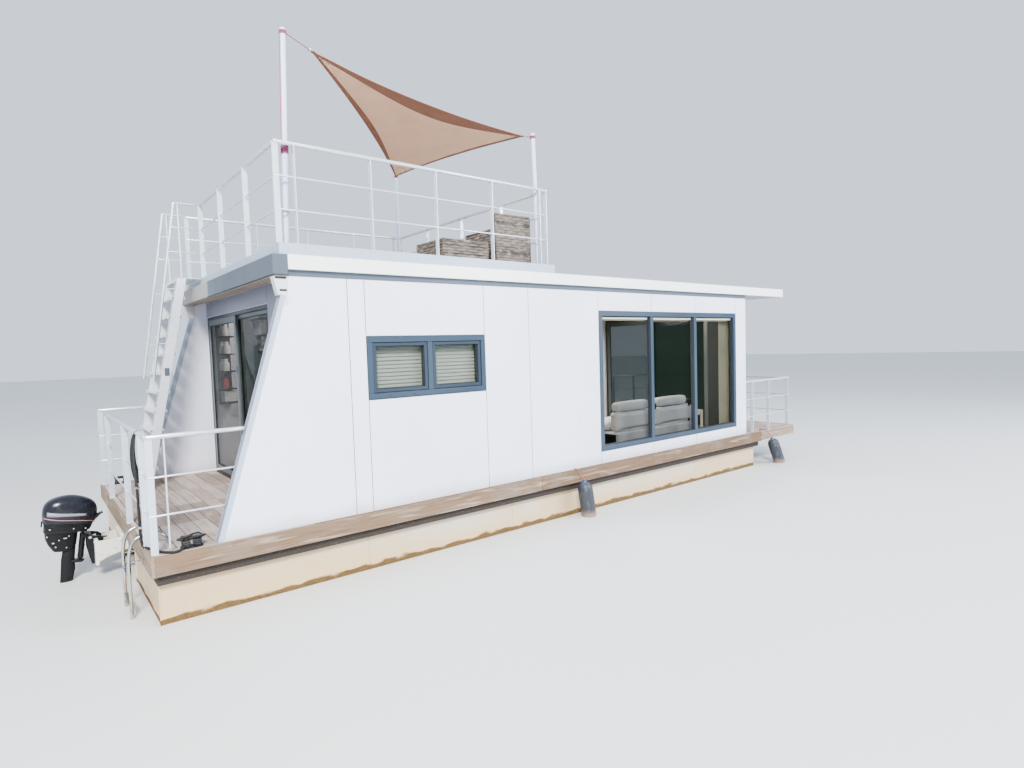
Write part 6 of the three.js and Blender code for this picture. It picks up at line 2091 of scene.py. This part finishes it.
# A dark sheet on the inside of the bow wall beside the big window is painted shade in the dim cabin
bow_shade_sheet = Kit(93).block((9.066, 9.078), (0.125, 0.716), (DECK + 0.002, 2.98), 0.001)
make("bow_wall_painted_shade_sheet", bow_shade_sheet, GASKET_AND_SHADE_BLACK, "edge_timber")
make("wall_shelves", shelves, SHELF_WOOD, "edge_timber")
make("shelf_jars", jars, JAR_WHITE, "stool_lacquer")
make("shelf_tin", tin, RED_TIN, "stool_lacquer")
make("shelf_basket", basket, JAR_WHITE, "stool_lacquer")
print("shelves", len(SHELF_TOPS))

# %% [markdown]
# ## Small fittings
# Each wing ends at the top in a bracket: two cheek plates with slots, a sloping nose and a foot plate, under the
# roof's aft beam. A rubber hose is clipped to the corner post, and its spare length hangs over the stern rail.

# %% Wing brackets and deck hose
PALE_CAST = coated_sheet("pale_grey_painted_bracket", "#D5DADF", "#8E969D", 0.42, 0.3)
RUBBER_HOSE = moulded_plastic("black_rubber_hose", "#2C2B2D", 0.62, "#55524F")
wing_bracket, slots = Kit(90), Kit()
cheek = [(1.122, 2.99), (1.247, 2.99), (1.247, 2.722), (wing_x(2.722) + 0.006, 2.722),
         (wing_x(BRACKET_LOW), BRACKET_LOW), (1.162, BRACKET_LOW)]
for y in (WALL_FACE - 0.0042, WALL_FACE + 0.0802):
    wing_bracket.prism(cheek, 0.004, upright(y), 0.001)
nose = (boat(1.161, WALL_FACE + 0.04, BRACKET_LOW - 0.003), boat(1.121, WALL_FACE + 0.04, 2.989))
wing_bracket.beam(*nose, 0.088, 0.005, (0, 1, 0), 0.001)
foot_y, foot_z = (WALL_FACE - 0.003, WALL_FACE + 0.083), (BRACKET_LOW - 0.005, BRACKET_LOW - 0.001)
wing_bracket.block((1.162, wing_x(BRACKET_LOW)), foot_y, foot_z, 0.001)
# The slots are dark patches on the cheek plates, not openings: painted shade for the dark inside each slot.
for x, z in (((1.135, 1.238), 2.966), ((1.172, 1.24), 2.852)):
    slots.block(x, (WALL_FACE - 0.0052, WALL_FACE - 0.0042), (z, z + 0.02), 0.0)
make_both("wing_bracket", wing_bracket, PALE_CAST, "grey_sheet_metal")
make_both("wing_bracket_slot_shade", slots, GASKET_AND_SHADE_BLACK, "window_frame")

stair_plate = Kit(98).block((0.689, 0.744), (3.064, 3.0695), (2.043, 2.142), 0.001)
make("stair_plate", stair_plate, SHADED_SLATE_SHEET, "grey_sheet_metal")
lock_plate = Kit(99).block((1.3985, 1.4035), (2.455, 2.525), (2.05, 2.14), 0.002)
make("aft_door_lock_plate", lock_plate, WINDOW_BLUE, "door_frame")

hose, clips = Kit(91), Kit(92)
hose_r = 0.011
drop = [(0.0, 0.52, 1.57), (-0.012, 0.50, 1.42), (-0.014, 0.46, 1.25), (-0.012, 0.42, 1.10), (-0.013, 0.40, 0.90),
        (-0.012, 0.39, 0.72), (0.0, 0.375, DECK + 0.016), (0.03, 0.30, DECK + 0.012), (0.09, 0.12, DECK + 0.012),
        (0.16, 0.03, DECK + 0.012), (0.21, 0.028, DECK + 0.012), (0.245, 0.05, DECK + 0.016),
        (0.262, 0.078, DECK + 0.03)]
hose.tube(smooth_path([boat(*p) for p in drop], 6), hose_r, 12)
for turn in range(4):
    # The spare length hangs over the stern rail in long loops
    loop = []
    for t in round_steps(28):
        loop.append(boat(0.028 + (0.033 + 0.004 * turn) * math.cos(t),
                         0.535 + 0.026 * turn + 0.012 * math.sin(t + turn),
                         1.44 - 0.02 * turn + (0.185 + 0.012 * turn) * math.sin(t)))
    hose.tube(loop, hose_r, 12, closed=True)
for x, y, z in ((-0.012, 0.43, 1.14), (-0.012, 0.392, 0.80)):
    clips.tube([boat(x, y + 0.002, z - 0.01), boat(x, y, z + 0.01)], hose_r + 0.002, 12)
    clips.block((x, 0.004), (y - 0.034, y + 0.004), (z - 0.008, z + 0.008), 0.001)
make("deck_hose", hose, RUBBER_HOSE, "black_iron")
make("deck_hose_clips", clips, STAINLESS, "stainless_steel")
hose_length = sum((boat(*b) - boat(*a)).length for a, b in zip(drop, drop[1:]))
print("hose", round(hose_length, 2), "m, clipped along its length")
